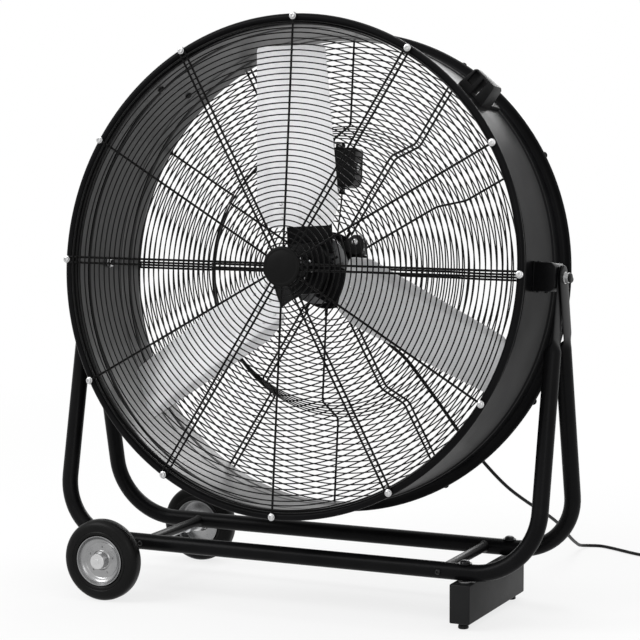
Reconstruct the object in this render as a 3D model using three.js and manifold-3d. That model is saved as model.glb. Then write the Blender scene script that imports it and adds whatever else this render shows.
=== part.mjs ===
// A large drum fan on a wheeled floor frame: a round steel drum with a wire guard on each face,
// a three-blade rotor on a motor held by the rear guard, and two bent tubes that carry the drum
// on a pivot at each side. Two wheels stand at the left, a foot bar at the right.
//
// Millimetres. X points right as seen from the front, Y to the back, Z up. The origin lies on the
// floor under the middle of the pivot axis.

import * as THREE from 'three';
import { mergeVertices } from 'three/addons/utils/BufferGeometryUtils.js';
import Module from 'manifold-3d';

const wasm = await Module();
wasm.setup();

// ---------------------------------------------------------------- driving dimensions

const GAP = 0.3;                    // clearance between pieces that touch
const BIG = 2000;                   // longer than any piece, for cutting tools

// drum
const BARREL_RADIUS = 461;          // outside of the barrel wall
const BARREL_WALL = 1.5;
const BARREL_LIFT = 185;            // floor to the underside of the barrel
const DRUM_TILT = 6.27;             // degrees that the drum leans back at rest
const BEAD_STAND = 11;              // from the barrel wall out to a rolled rim's centre circle
const BEAD_THICK = 7.5;             // radius of a rolled rim
const BEAD_FRONT = 128;             // from the pivot plane to the front rolled rim
const BEAD_REAR = 138;              // and to the rear one
const FRONT_RIB_Y = -76;            // a swaged rib round the barrel
const REAR_RIB_Y = 86;
const RIB_HEIGHT = 3;
const RIB_WIDTH = 14;
const DRUM_SEGMENTS = 36;

// guards
const GUARD_WIRE = 3;               // thickness of a guard, front to back
const GUARD_RING = 4;               // width of a ring
const GUARD_SPAN_STEPS = 2;         // straight pieces of a ring between two spokes
const SPOKE_COUNT = 12;
const SINGLE_SPOKE = 4;             // width of a single spoke
const DOUBLE_SPOKE = 12;            // width of a pair of spokes
const GUARD_INSET = 10;             // from the rims' centre circle in to the outermost ring
const TAB_WIDTH = 16;               // eye at a spoke's end
const BOLT_STAND = 1.4;             // from the rims' centre circle out to the guard bolts
const BADGE_RING = 41;              // ring that the centre badge is fixed to
const FRONT_RING_COUNT = 6;
const CONE_OUTER = 294;             // the rear guard steps forward between these two radii
const CONE_INNER = 259;
const CONE_DEPTH = 78;
const MOTOR_RING = 81;              // radius of the ring that the motor is bolted to
const MOTOR_RING_WIDTH = 18;
const GUARD_BOLT_HEAD = 6.8;
const GUARD_BOLT_HIGH = 5;
const GUARD_BOLT_SHANK = 2.5;
const GUARD_BOLT_DEPTH = 5;         // into the rolled rim
const BADGE_RADIUS = 38;
const BADGE_THICK = 6;

// rotor
const BLADE_COUNT = 3;
const BLADE_ANGLE = 95.5;           // degrees, first blade, counter-clockwise from +X
const BLADE_TIP_GAP = 26;           // from a blade's tip to the outside of the barrel
const BLADE_ROOT = 82;
const BLADE_SHOULDER = 125;         // radius where a blade is widest
const ROOT_EDGES = [-51, 70];       // trailing and leading edge, from a blade's middle line
const SHOULDER_EDGES = [-66, 92];
const TIP_EDGES = [-53, 79];
const BLADE_SHEET = 2;
const BLADE_PITCH = 25;             // degrees out of the rotor's plane
const BLADE_CREASE = 61;            // from a blade's middle line to its crease
const BLADE_BEND = 9;               // degrees that the strip past the crease turns forward
const ROTOR_Y = -26;                // plane of the blades' middle lines
const HUB_RADIUS = 56;
const HUB_SIDES = 9;
const HUB_THICK = 24;
const ARM_LENGTH = 132;             // radius at the end of a spider arm
const ARM_EDGES = [-51, 37];        // an arm's edges, from the blade's middle line
const ARM_THICK = 4;
const HUB_BOSS_RADIUS = 24;
const HUB_BOSS_LENGTH = 40;
const SHAFT_RADIUS = 9.5;
const SHAFT_NUT_RADIUS = 15;
const SHAFT_NUT_HIGH = 10;
const SHAFT_THREAD = 6;             // beyond the nut
const SHAFT_DEPTH = 36;             // into the motor

// motor and boxes
const MOTOR_RADIUS = 65;
const MOTOR_FRONT = 24;             // front face of the stator
const MOTOR_LENGTH = 84;
const MOTOR_FLANGE_RADIUS = 94;
const MOTOR_FLANGE = 5;
const MOTOR_TAIL = 12;              // domed cover behind the stator
const BORE_RUN_OUT = 4;             // of the motor's bore past the shaft's end
const MOTOR_SEGMENTS = 20;
const END_BELL_LENGTH = 16;
const END_BELL_NOSE = 26;
const SWITCH_BOX = { width: 66, depth: 40, height: 96, x: 14, z: 198 };
const BOX_EAR = 9;
const BOX_WALL = 3;
const KNOB_RADIUS = 15;
const KNOB_HIGH = 15;
const KNOB_STEM = 3;
const CABLE_BOX = { width: 46, depth: 37, height: 40, x: 69, z: 51 };
const GLAND_RADIUS = 9;
const GLAND_LENGTH = 28;

// carry handles
const HANDLE_ANGLE = 47;            // degrees up from the pivot axis
const HANDLE_FRONT = -32;
const HANDLE_LENGTH = 118;
const HANDLE_HIGH = 44;
const SADDLE_DEPTH = 40;            // a saddled blank's length inside the barrel, before the cut
const HANDLE_BASE_WIDTH = 64;
const HANDLE_TOP_WIDTH = 50;
const HANDLE_SLOT = 7;              // finger slot between the two cheeks
const HANDLE_SLOT_SIDE = 2;         // slot's centre from the handle's middle
const HANDLE_ROOF = 8;
const HANDLE_SLOPE = 21;            // the top drops by this towards the rear
const HANDLE_SLOPE_FROM = 30;       // length of the level part
const POCKET_WIDTH = 18;
const POCKET_HEIGHT = 26;
const POCKET_DEPTH = 12;
const POCKET_SIDE = 17;

// pivots
const BRACKET_HEIGHT = 54;
const BRACKET_DEPTH = 66;
const BRACKET_TAPER = 8;
const PIVOT_BOLT_RADIUS = 6;
const PIVOT_BOLT_INSIDE = 12;       // thread end inside the barrel
const PIVOT_HEAD_RADIUS = 9;
const PIVOT_HEAD_HIGH = 4;
const PIVOT_WASHER_RADIUS = 11;
const PIVOT_WASHER = 9;

// floor frame
const TUBE_RADIUS = 16;
const TUBE_WALL = 1.5;
const TUBE_SIDES = 10;
const TUBE_BACK = 120;              // pivot plane to each bottom run
const LEG_STAND = 39;               // from the barrel wall out to a leg's centre line
const BEND_RADIUS = 120;
const BEND_STEPS = 4;
const FLAT_THICK = 4;               // a leg's flattened top
const FLAT_WIDTH = 46;
const FLAT_STAND = 4;               // leg's centre line out to the inner face of the inner flat
const FLAT_START = 138;             // below the pivot axis
const FLAT_END = 108;
const CROSS_BAR_INSET = 184;        // from a leg's centre line in to a cross bar
const CROSS_BAR_RADIUS = 9.5;
const SCREW_HEAD = 5.5;
const SCREW_SHANK = 3;
const SCREW_HIGH = 4;
const SCREW_LENGTH = 32;

// wheels
const WHEEL_INSET = 138;            // from the left legs' centre line in to the axle
const WHEEL_Y = 202;
const WHEEL_RADIUS = 80;
const TYRE_WIDTH = 38;
const TYRE_SHOULDER = 14;
const TYRE_BORE = 50;
const RIM_LIP = 3;
const RIM_DISC_RADIUS = 37;
const RIM_DISC_Y = 5;
const RIM_SHEET = 2.5;
const HUB_TUBE_RADIUS = 16;
const HUB_OUT = 25;                 // hub end beyond the wheel's middle plane
const HUB_IN = 21;
const HUB_CAP = 5;
const AXLE_RADIUS = 7.7;
const AXLE_SHOULDER = 11;
const WHEEL_SEGMENTS = 24;

// foot bar
const FOOT_INSET = 136;             // from the right legs' centre line in to the foot bar
const FOOT_WIDTH = 40;
const FOOT_LENGTH = 300;
const PAD_RADIUS = 10;
const PAD_HIGH = 12;
const PAD_Y = 128;
const FOOT_WALL = 2;
const FOOT_EDGE = 3;
const FOOT_SLOT_WIDTH = 18;
const FOOT_SLOT_LENGTH = 200;
const FOOT_BOLT_HEAD = 10;
const FOOT_BOLT_HIGH = 7;
const FOOT_BOLT_SHANK = 4;
const SPACER_RADIUS = 12;
const SPACER_HIGH = 1.4;

// power cord
const CORD_RADIUS = 3.5;
const CORD_SIDES = 8;
const CORD_STEPS = 60;
// Hand-picked route: out of the gland, through the rear guard, down to the floor and along it.
const CORD_EXIT_RUN = 14;
const CORD_ROUTE = [
  [83, 44, 596], [87, 49, 569], [93.5, 58.4, 545.5], [103, 76, 519], [118, 104, 492],
  [138, 134, 463], [164, 160, 417], [193, 181, 368], [222, 200, 318], [249, 211, 281],
  [276, 224, 244], [308, 258, 197], [336, 309, 157], [354, 368, 125], [361, 440, 88],
  [358, 510, 51], [351, 572, 26], [347, 620, 10], [356, 651, 4.2], [379, 658, 3.9],
  [408, 647, 3.9], [440, 629, 3.9], [478, 609, 3.9], [512, 599, 3.9],
];
const COIL_CENTRE = [562, 553];
const COIL_RADIUS = 38;             // middle of the turns
const COIL_LOOPS = 3.25;
const COIL_PITCH = 7.9;             // between neighbouring turns
const COIL_TAIL = 28;               // straight run from the last turn to the plug
const LOOP_STEPS = 24;
const LOOP_SIDES = 6;
const PLUG = { length: 52, width: 38, high: 22.6, pinRadius: 2.4, pinLength: 19, pinSpacing: 19 };

// ---------------------------------------------------------------- derived places

const rad = THREE.MathUtils.degToRad;
const BARREL_INSIDE = BARREL_RADIUS - BARREL_WALL;
const PIVOT_HEIGHT = BARREL_LIFT + BARREL_RADIUS;
const BEAD_RADIUS = BARREL_RADIUS + BEAD_STAND;
const BOLT_CIRCLE = BEAD_RADIUS + BOLT_STAND;
const GUARD_RADIUS = BEAD_RADIUS - GUARD_INSET;
const RING_STEP = (GUARD_RADIUS - BADGE_RING) / (FRONT_RING_COUNT - 1);
const FRONT_RINGS = Array.from({ length: FRONT_RING_COUNT }, (_, i) => BADGE_RING + i * RING_STEP);
const REAR_RINGS = [
  MOTOR_RING, (MOTOR_RING + CONE_INNER) / 2, CONE_INNER,
  CONE_OUTER, (CONE_OUTER + GUARD_RADIUS) / 2, GUARD_RADIUS,
];
const BLADE_TIP = BARREL_RADIUS - BLADE_TIP_GAP;
const HANDLE_TOP = BARREL_RADIUS + HANDLE_HIGH;
const LEG_X = BARREL_RADIUS + LEG_STAND;
const TUBE_HEIGHT = WHEEL_RADIUS + AXLE_RADIUS + GAP + TUBE_RADIUS;  // the tubes rest on the axle
const FOOT_TOP = TUBE_HEIGHT - TUBE_RADIUS - GAP - SPACER_HIGH - GAP;
const CROSS_BAR_X = LEG_X - CROSS_BAR_INSET;
const WHEEL_X = WHEEL_INSET - LEG_X;
const FOOT_X = LEG_X - FOOT_INSET;
const FRONT_GUARD_Y = -(BEAD_FRONT + BEAD_THICK + GAP);
const REAR_GUARD_Y = BEAD_REAR + BEAD_THICK + GAP;
const REAR_INNER_Y = REAR_GUARD_Y - CONE_DEPTH;
const FLAT_INNER_X = LEG_X + FLAT_STAND;
const FLAT_OUTER_X = FLAT_INNER_X + FLAT_THICK + GAP;
const LEG_LEAN = Math.atan2(TUBE_BACK, PIVOT_HEIGHT - TUBE_HEIGHT);

// ---------------------------------------------------------------- materials

function paint(color, roughness, metalness = 0) {
  return new THREE.MeshStandardMaterial({ color, roughness, metalness });
}

const blackPaint = () => paint(0x0d0d0e, 0.32, 0.2);
const blackPlastic = () => paint(0x151516, 0.5);
const bareAluminium = () => paint(0xc9cbcd, 0.34, 0.9);
const zincPlate = () => paint(0xb9bcbe, 0.25, 1);
const blackRubber = () => paint(0x171717, 0.85);
const castGrey = () => paint(0x7d8083, 0.5, 0.7);

// ---------------------------------------------------------------- geometry helpers

/** Keeps position only and merges shared corners, as a closed solid needs. */
function closed(geometry) {
  const bare = geometry.clone();
  for (const name of Object.keys(bare.attributes)) {
    if (name !== 'position') bare.deleteAttribute(name);
  }
  return mergeVertices(bare, 1e-3);
}

function toSolid(geometry) {
  const merged = closed(geometry);
  return new wasm.Manifold(new wasm.Mesh({
    numProp: 3,
    vertProperties: new Float32Array(merged.attributes.position.array),
    triVerts: new Uint32Array(merged.index.array),
  }));
}

function toGeometry(solid) {
  const mesh = solid.getMesh();
  const geometry = new THREE.BufferGeometry();
  geometry.setAttribute('position', new THREE.BufferAttribute(mesh.vertProperties, 3));
  geometry.setIndex(new THREE.BufferAttribute(mesh.triVerts, 1));
  return geometry;
}

/** Cuts each tool out of a body. */
function cut(body, ...tools) {
  return toGeometry(tools.reduce((solid, tool) => solid.subtract(toSolid(tool)), toSolid(body)));
}

/** Joins overlapping bodies into one. */
function join(first, ...others) {
  return toGeometry(others.reduce((solid, other) => solid.add(toSolid(other)), toSolid(first)));
}

/** Turns an outline of [radius, y] points round the Y axis. It starts and ends on it, or closes. */
function turned(outline, segments) {
  const points = outline.map(([radius, y]) => new THREE.Vector2(radius, y));
  if (THREE.ShapeUtils.isClockWise(points)) points.reverse();
  const onAxis = points.filter((point) => point.x === 0).length;
  while (onAxis && !(points[0].x === 0 && points[points.length - 1].x === 0)) {
    points.push(points.shift());
  }
  if (!onAxis) points.push(points[0].clone());
  return new THREE.LatheGeometry(points, segments);
}

/** A rod along Y from y0 to y1. */
function rodY(radius, y0, y1, sides = 16) {
  const rod = new THREE.CylinderGeometry(radius, radius, y1 - y0, sides);
  return rod.translate(0, (y0 + y1) / 2, 0);
}

function rodX(radius, x0, x1, sides = 16) {
  return rodY(radius, x0, x1, sides).rotateZ(-Math.PI / 2);
}

function rodZ(radius, z0, z1, sides = 16) {
  return rodY(radius, z0, z1, sides).rotateX(Math.PI / 2);
}

/** Radius of a cutter whose flats clear a rod of this radius by the working gap. */
function boreFor(radius, sides = 16) {
  return (radius + GAP) / Math.cos(Math.PI / sides);
}

/** Radius of a cutter that fits round a body of as many flats, turned alike, at the working gap. */
function sleeveFor(radius, sides) {
  return radius + GAP / Math.cos(Math.PI / sides);
}

function block(x0, x1, y0, y1, z0, z1) {
  const box = new THREE.BoxGeometry(x1 - x0, y1 - y0, z1 - z0);
  return box.translate((x0 + x1) / 2, (y0 + y1) / 2, (z0 + z1) / 2);
}

/** A rod with a domed head. The head points along +Y and sits on y = 0. */
function domeBolt(headRadius, headHigh, shankRadius, shankLength, sides = 8) {
  return turned([
    [0, -shankLength], [shankRadius, -shankLength], [shankRadius, 0], [headRadius, 0],
    [headRadius, headHigh * 0.5], [headRadius * 0.7, headHigh], [0, headHigh],
  ], sides);
}

/** An outline in X and Z pushed along Y from y0 to y1. */
function slabY(points, y0, y1) {
  const shape = new THREE.Shape(points.map(([x, z]) => new THREE.Vector2(x, z)));
  const slab = new THREE.ExtrudeGeometry(shape, { depth: y1 - y0, bevelEnabled: false });
  return slab.rotateX(Math.PI / 2).translate(0, y1, 0);
}

/** A path whose steps fall on the given stations, so bends get more of them than straights. */
class StationPath extends THREE.Curve {
  constructor(stations) {
    super();
    this.stations = stations;
  }

  getPoint(t) {
    const place = t * (this.stations.length - 1);
    const index = Math.min(Math.floor(place), this.stations.length - 2);
    return this.stations[index].clone().lerp(this.stations[index + 1], place - index);
  }

  getPointAt(u) {
    return this.getPoint(u);
  }

  getTangentAt(u) {
    const last = this.stations.length - 1;
    const index = Math.round(u * last);
    const before = this.stations[Math.max(index - 1, 0)];
    const after = this.stations[Math.min(index + 1, last)];
    return after.clone().sub(before).normalize();
  }

  getSpacedPoints(divisions) {
    return Array.from({ length: divisions + 1 }, (_, i) => this.getPoint(i / divisions));
  }
}

function circlePath(radius, sides) {
  return Array.from({ length: sides }, (_, i) => {
    const turn = (2 * Math.PI * (i + 0.5)) / sides;
    return new THREE.Vector2(radius * Math.cos(turn), radius * Math.sin(turn));
  });
}

/** A round bar or, with a wall, a round tube along a list of stations. */
function pipe(stations, radius, sides, wall = 0) {
  const shape = new THREE.Shape(circlePath(radius, sides));
  if (wall > 0) shape.holes.push(new THREE.Path(circlePath(radius - wall, sides)));
  return new THREE.ExtrudeGeometry(shape, {
    steps: stations.length - 1,
    extrudePath: new StationPath(stations),
  });
}

// ---------------------------------------------------------------- scene graph

const fan = new THREE.Group();
const drum = new THREE.Group();
drum.position.set(0, 0, PIVOT_HEIGHT);
drum.rotation.x = -rad(DRUM_TILT);
fan.add(drum);

function add(parent, name, geometry, material) {
  const mesh = new THREE.Mesh(toGeometry(toSolid(geometry)), material);
  mesh.name = name;
  parent.add(mesh);
  return mesh;
}

const SIDES = [['left', -1], ['right', 1]];
const ENDS = [['front', -1], ['rear', 1]];

// ---------------------------------------------------------------- floor frame

/** Y of a leg's centre line at a height, for the front (-1) or rear (1) tube. */
function legY(end, z) {
  return (end * TUBE_BACK * (PIVOT_HEIGHT - z)) / (PIVOT_HEIGHT - TUBE_HEIGHT);
}

/** Stations of a U tube in its own leaning plane, from the left leg's top to the right one's. */
function uTubeStations(end) {
  const lean = Math.cos(LEG_LEAN);
  const bendTop = TUBE_HEIGHT + BEND_RADIUS * lean;
  const leg = [FLAT_WIDTH / 2, 0, -FLAT_END, (-FLAT_END - FLAT_START) / 2, -FLAT_START]
    .map((up) => [LEG_X, PIVOT_HEIGHT + up])
    .concat([[LEG_X, bendTop]]);
  for (let step = 1; step <= BEND_STEPS; step++) {
    const turn = (Math.PI / 2) * (step / BEND_STEPS);
    leg.push([
      LEG_X - BEND_RADIUS * (1 - Math.cos(turn)),
      bendTop - BEND_RADIUS * lean * Math.sin(turn),
    ]);
  }
  const left = leg.map(([x, z]) => new THREE.Vector3(-x, legY(end, z), z));
  const right = leg.map(([x, z]) => new THREE.Vector3(x, legY(end, z), z)).reverse();
  return [...left, ...right];
}

/** Presses the tops of the legs flat, with a rounded end, and sets them side by side. */
function flattenLegs(geometry, end, flatX) {
  const position = geometry.attributes.position;
  const squeeze = TUBE_RADIUS - FLAT_THICK / 2;
  const spread = FLAT_WIDTH / 2 - TUBE_RADIUS;
  const skew = TUBE_RADIUS * Math.sin(LEG_LEAN);  // sections stand square to the leaning leg
  for (let i = 0; i < position.count; i++) {
    const z = position.getZ(i);
    const below = PIVOT_HEIGHT - z;
    if (below >= FLAT_START) continue;
    const share = Math.min((FLAT_START - below) / (FLAT_START - FLAT_END - skew), 1);
    const side = Math.sign(position.getX(i));
    const centreY = legY(end, z);
    const dx = position.getX(i) - side * LEG_X;
    const dy = position.getY(i) - centreY;
    const distance = Math.hypot(dx, dy);
    const thin = (distance - squeeze * share) / distance;
    const wide = (distance + spread * share) / distance;
    const flatY = dy * wide;
    position.setX(i, side * (LEG_X + (flatX - LEG_X) * share) + dx * thin);
    position.setY(i, centreY + flatY);
    if (below < -FLAT_WIDTH / 4) {
      const reach = distance + spread;
      position.setZ(i, PIVOT_HEIGHT + Math.sqrt(Math.max(reach ** 2 - flatY ** 2, 0)) + 1);
    }
  }
  return geometry;
}

function uTube(end) {
  const flatX = (end < 0 ? FLAT_INNER_X : FLAT_OUTER_X) + FLAT_THICK / 2;
  const round = pipe(uTubeStations(end), TUBE_RADIUS, TUBE_SIDES, TUBE_WALL);
  const tube = flattenLegs(round, end, flatX);
  const outer = end * (TUBE_BACK + TUBE_RADIUS + 5);
  const inner = end * (TUBE_BACK - TUBE_RADIUS - 5);
  const screwHoles = SIDES.map(([, side]) => rodY(
    boreFor(SCREW_SHANK, 8), Math.min(outer, inner), Math.max(outer, inner), 8,
  ).translate(side * CROSS_BAR_X, 0, TUBE_HEIGHT));
  const footHole = rodZ(boreFor(FOOT_BOLT_SHANK, 8), FOOT_TOP, TUBE_HEIGHT + 2 * TUBE_RADIUS, 8)
    .translate(FOOT_X, end * TUBE_BACK, 0);
  const pivotHole = rodX(boreFor(PIVOT_BOLT_RADIUS, 12), -BIG / 2, BIG / 2, 12)
    .translate(0, 0, PIVOT_HEIGHT);
  return cut(tube, ...screwHoles, footHole, pivotHole);
}

/** A cross bar whose ends are coped round both bottom runs. */
function crossBar(side) {
  const reach = TUBE_BACK;
  const outline = [
    [CROSS_BAR_RADIUS - TUBE_WALL, -reach], [CROSS_BAR_RADIUS, -reach],
    [CROSS_BAR_RADIUS, reach], [CROSS_BAR_RADIUS - TUBE_WALL, reach],
  ];
  const bar = turned(outline, 12).translate(side * CROSS_BAR_X, 0, TUBE_HEIGHT);
  const copes = ENDS.map(([, end]) => rodX(boreFor(TUBE_RADIUS, 20), -BIG / 2, BIG / 2, 20)
    .translate(0, end * TUBE_BACK, TUBE_HEIGHT));
  return cut(bar, ...copes);
}

function crossBarScrew(end) {
  const seat = TUBE_RADIUS + GAP;
  const screw = domeBolt(SCREW_HEAD, SCREW_HIGH, SCREW_SHANK, SCREW_LENGTH + seat);
  if (end < 0) screw.rotateX(Math.PI);
  return screw;
}

for (const [endName, end] of ENDS) {
  add(fan, `${endName}_frame_tube`, uTube(end), blackPaint());
  for (const [sideName, side] of SIDES) {
    const screw = add(fan, `cross_bar_screw_${sideName}_${endName}`, crossBarScrew(end), zincPlate());
    screw.position.set(side * CROSS_BAR_X, end * (TUBE_BACK + TUBE_RADIUS + GAP), TUBE_HEIGHT);
  }
}
for (const [sideName, side] of SIDES) {
  add(fan, `${sideName}_cross_bar`, crossBar(side), blackPaint());
}

// ---------------------------------------------------------------- pivot bolts

function pivotBolt() {
  const inner = BARREL_INSIDE - PIVOT_BOLT_INSIDE;
  const seat = FLAT_OUTER_X + FLAT_THICK + GAP + PIVOT_WASHER + GAP;
  return turned([
    [0, inner], [PIVOT_BOLT_RADIUS, inner], [PIVOT_BOLT_RADIUS, seat], [PIVOT_HEAD_RADIUS, seat],
    [PIVOT_HEAD_RADIUS, seat + PIVOT_HEAD_HIGH * 0.5],
    [PIVOT_HEAD_RADIUS * 0.75, seat + PIVOT_HEAD_HIGH * 0.9],
    [0, seat + PIVOT_HEAD_HIGH],
  ], 12);
}

function washer(outerRadius, boltRadius, thick, sides = 12) {
  const bore = boreFor(boltRadius, sides);
  return turned([[bore, 0], [outerRadius, 0], [outerRadius, thick], [bore, thick]], sides);
}

for (const [sideName, side] of SIDES) {
  const bolt = add(fan, `pivot_bolt_${sideName}`, pivotBolt(), blackPlastic());
  bolt.rotation.z = side * -Math.PI / 2;
  bolt.position.z = PIVOT_HEIGHT;
  const nut = washer(PIVOT_WASHER_RADIUS, PIVOT_BOLT_RADIUS, PIVOT_WASHER);
  const nutMesh = add(fan, `pivot_nut_${sideName}`, nut, zincPlate());
  nutMesh.rotation.z = side * -Math.PI / 2;
  nutMesh.position.set(side * (FLAT_OUTER_X + FLAT_THICK + GAP), 0, PIVOT_HEIGHT);
}

// ---------------------------------------------------------------- foot bar

/** A box-section bar with bevelled edges, open underneath through a slot. */
function footBar() {
  const half = FOOT_WIDTH / 2;
  const low = PAD_HIGH;
  const outline = [
    [-half, low + FOOT_EDGE], [-half + FOOT_EDGE, low], [half - FOOT_EDGE, low],
    [half, low + FOOT_EDGE], [half, FOOT_TOP - FOOT_EDGE], [half - FOOT_EDGE, FOOT_TOP],
    [-half + FOOT_EDGE, FOOT_TOP], [-half, FOOT_TOP - FOOT_EDGE],
  ];
  const bar = slabY(outline, -FOOT_LENGTH / 2, FOOT_LENGTH / 2);
  const inside = block(
    -half + FOOT_WALL, half - FOOT_WALL, -FOOT_LENGTH / 2 + FOOT_WALL, FOOT_LENGTH / 2 - FOOT_WALL,
    low + FOOT_WALL, FOOT_TOP - FOOT_WALL,
  );
  const slot = block(
    -FOOT_SLOT_WIDTH / 2, FOOT_SLOT_WIDTH / 2, -FOOT_SLOT_LENGTH / 2, FOOT_SLOT_LENGTH / 2,
    low - FOOT_WALL, low + 2 * FOOT_WALL,
  );
  const boltHoles = ENDS.map(([, end]) => rodZ(
    boreFor(FOOT_BOLT_SHANK, 8), FOOT_TOP - 2 * FOOT_WALL, FOOT_TOP + FOOT_WALL, 8,
  ).translate(0, end * TUBE_BACK, 0));
  return cut(bar, inside, slot, ...boltHoles);
}

function footPad() {
  const high = PAD_HIGH - GAP;
  return turned([
    [0, 0], [PAD_RADIUS - 1, 0], [PAD_RADIUS, 1.5], [PAD_RADIUS - 1.5, high], [0, high],
  ], 16);
}

add(fan, 'foot_bar', footBar(), blackPaint()).position.x = FOOT_X;
for (const [endName, end] of ENDS) {
  const pad = add(fan, `foot_pad_${endName}`, footPad(), blackRubber());
  pad.rotation.x = Math.PI / 2;
  pad.position.set(FOOT_X, end * PAD_Y, 0);

  const spacer = washer(SPACER_RADIUS, FOOT_BOLT_SHANK, SPACER_HIGH);
  const spacerMesh = add(fan, `foot_spacer_${endName}`, spacer, zincPlate());
  spacerMesh.rotation.x = Math.PI / 2;
  spacerMesh.position.set(FOOT_X, end * TUBE_BACK, FOOT_TOP + GAP);

  const tubeTop = TUBE_HEIGHT + TUBE_RADIUS + GAP;
  const length = tubeTop - FOOT_TOP + 4 * FOOT_WALL;
  const bolt = domeBolt(FOOT_BOLT_HEAD, FOOT_BOLT_HIGH, FOOT_BOLT_SHANK, length);
  const boltMesh = add(fan, `foot_bolt_${endName}`, bolt, blackPlastic());
  boltMesh.rotation.x = Math.PI / 2;
  boltMesh.position.set(FOOT_X, end * TUBE_BACK, tubeTop);
}

// ---------------------------------------------------------------- wheels

/** The axle, stepped so that each wheel is held off the tubes. */
function wheelAxle() {
  const end = WHEEL_Y + HUB_OUT - HUB_CAP - GAP;
  const shoulder = WHEEL_Y - HUB_IN - GAP;
  const shoulderStart = TUBE_BACK + TUBE_RADIUS + 3;
  return turned([
    [0, -end], [AXLE_RADIUS, -end], [AXLE_RADIUS, -shoulder], [AXLE_SHOULDER, -shoulder],
    [AXLE_SHOULDER, -shoulderStart], [AXLE_RADIUS, -shoulderStart],
    [AXLE_RADIUS, shoulderStart], [AXLE_SHOULDER, shoulderStart], [AXLE_SHOULDER, shoulder],
    [AXLE_RADIUS, shoulder], [AXLE_RADIUS, end], [0, end],
  ], 12);
}

function tyre() {
  const half = TYRE_WIDTH / 2;
  const flat = half - TYRE_SHOULDER * 0.6;
  return turned([
    [TYRE_BORE, -half + 4], [TYRE_BORE + 6, -half], [WHEEL_RADIUS - TYRE_SHOULDER, -half],
    [WHEEL_RADIUS - TYRE_SHOULDER * 0.35, -half + 3], [WHEEL_RADIUS, -flat],
    [WHEEL_RADIUS, flat], [WHEEL_RADIUS - TYRE_SHOULDER * 0.35, half - 3],
    [WHEEL_RADIUS - TYRE_SHOULDER, half], [TYRE_BORE + 6, half], [TYRE_BORE, half - 4],
  ], WHEEL_SEGMENTS);
}

/** A pressed steel rim: a lip under the tyre, a dished disc and a collar round the hub. */
function wheelRim() {
  const half = TYRE_WIDTH / 2;
  const outer = TYRE_BORE - GAP;
  const collar = boreFor(HUB_TUBE_RADIUS, WHEEL_SEGMENTS);
  return turned([
    [outer, -half + 4], [outer, half - 2], [outer - RIM_LIP, half - 1],
    [RIM_DISC_RADIUS + 3, RIM_DISC_Y + RIM_SHEET + 3], [RIM_DISC_RADIUS, RIM_DISC_Y + RIM_SHEET],
    [collar, RIM_DISC_Y + RIM_SHEET], [collar, RIM_DISC_Y],
    [RIM_DISC_RADIUS + 2, RIM_DISC_Y], [outer - RIM_LIP, -half + 4],
  ], WHEEL_SEGMENTS);
}

/** The hub, bored for the axle from its inner end. */
function wheelHub() {
  const bore = boreFor(AXLE_RADIUS, 16);
  return turned([
    [bore, -HUB_IN], [HUB_TUBE_RADIUS, -HUB_IN], [HUB_TUBE_RADIUS, HUB_OUT - 3],
    [HUB_TUBE_RADIUS - 3, HUB_OUT], [0, HUB_OUT], [0, HUB_OUT - HUB_CAP],
    [bore, HUB_OUT - HUB_CAP],
  ], 16);
}

const axle = add(fan, 'wheel_axle', wheelAxle(), zincPlate());
axle.position.set(WHEEL_X, 0, WHEEL_RADIUS);
for (const [endName, end] of ENDS) {
  const wheel = new THREE.Group();
  wheel.position.set(WHEEL_X, end * WHEEL_Y, WHEEL_RADIUS);
  if (end < 0) wheel.rotation.z = Math.PI;
  add(wheel, `tyre_${endName}`, tyre(), blackRubber());
  add(wheel, `wheel_rim_${endName}`, wheelRim(), zincPlate());
  add(wheel, `wheel_hub_${endName}`, wheelHub(), castGrey());
  fan.add(wheel);
}

// ---------------------------------------------------------------- drum shell

/** Half of a rolled rim, from the outside of the barrel round to its inside. */
function beadArc(end) {
  const centre = end < 0 ? BEAD_FRONT : BEAD_REAR;
  const points = [];
  for (const turn of [-140, -90, -45, 0, 45, 90, 140]) {
    const angle = rad(turn);
    points.push([
      BEAD_RADIUS + BEAD_THICK * Math.sin(angle),
      end * (centre + BEAD_THICK * Math.cos(angle)),
    ]);
  }
  return points;
}

function drumShell() {
  const rib = (offset, y) => [
    [BARREL_RADIUS + offset, y - RIB_WIDTH / 2],
    [BARREL_RADIUS + RIB_HEIGHT + offset, y],
    [BARREL_RADIUS + offset, y + RIB_WIDTH / 2],
  ];
  const wall = (offset) => [
    [BARREL_RADIUS + offset, -BEAD_FRONT + BEAD_THICK + 4],
    ...rib(offset, FRONT_RIB_Y),
    ...rib(offset, REAR_RIB_Y),
    [BARREL_RADIUS + offset, BEAD_REAR - BEAD_THICK - 4],
  ];
  const outside = wall(0);
  const inside = wall(-BARREL_WALL).reverse();
  const shell = turned([
    ...outside, ...beadArc(1).reverse(), ...inside, ...beadArc(-1),
  ], DRUM_SEGMENTS);
  const mouth = BEAD_FRONT + BEAD_THICK;
  const boltHoles = spokeAngles().map((angle) => {
    const hole = rodY(boreFor(GUARD_BOLT_SHANK, 6), -mouth - 5, -mouth + GUARD_BOLT_DEPTH + 1, 6);
    return atRadius(hole, BOLT_CIRCLE, angle);
  });
  const pivotHoles = rodX(boreFor(PIVOT_BOLT_RADIUS, 12), -BIG / 2, BIG / 2, 12);
  return cut(shell, pivotHoles, ...boltHoles);
}

function spokeAngles() {
  return Array.from({ length: SPOKE_COUNT }, (_, i) => 90 - (360 * i) / SPOKE_COUNT);
}

/** Moves a shape from the axis to a radius, at an angle up from +X. */
function atRadius(geometry, radius, angle) {
  return geometry.translate(radius, 0, 0).rotateY(-rad(angle));
}

// ---------------------------------------------------------------- guards

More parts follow.
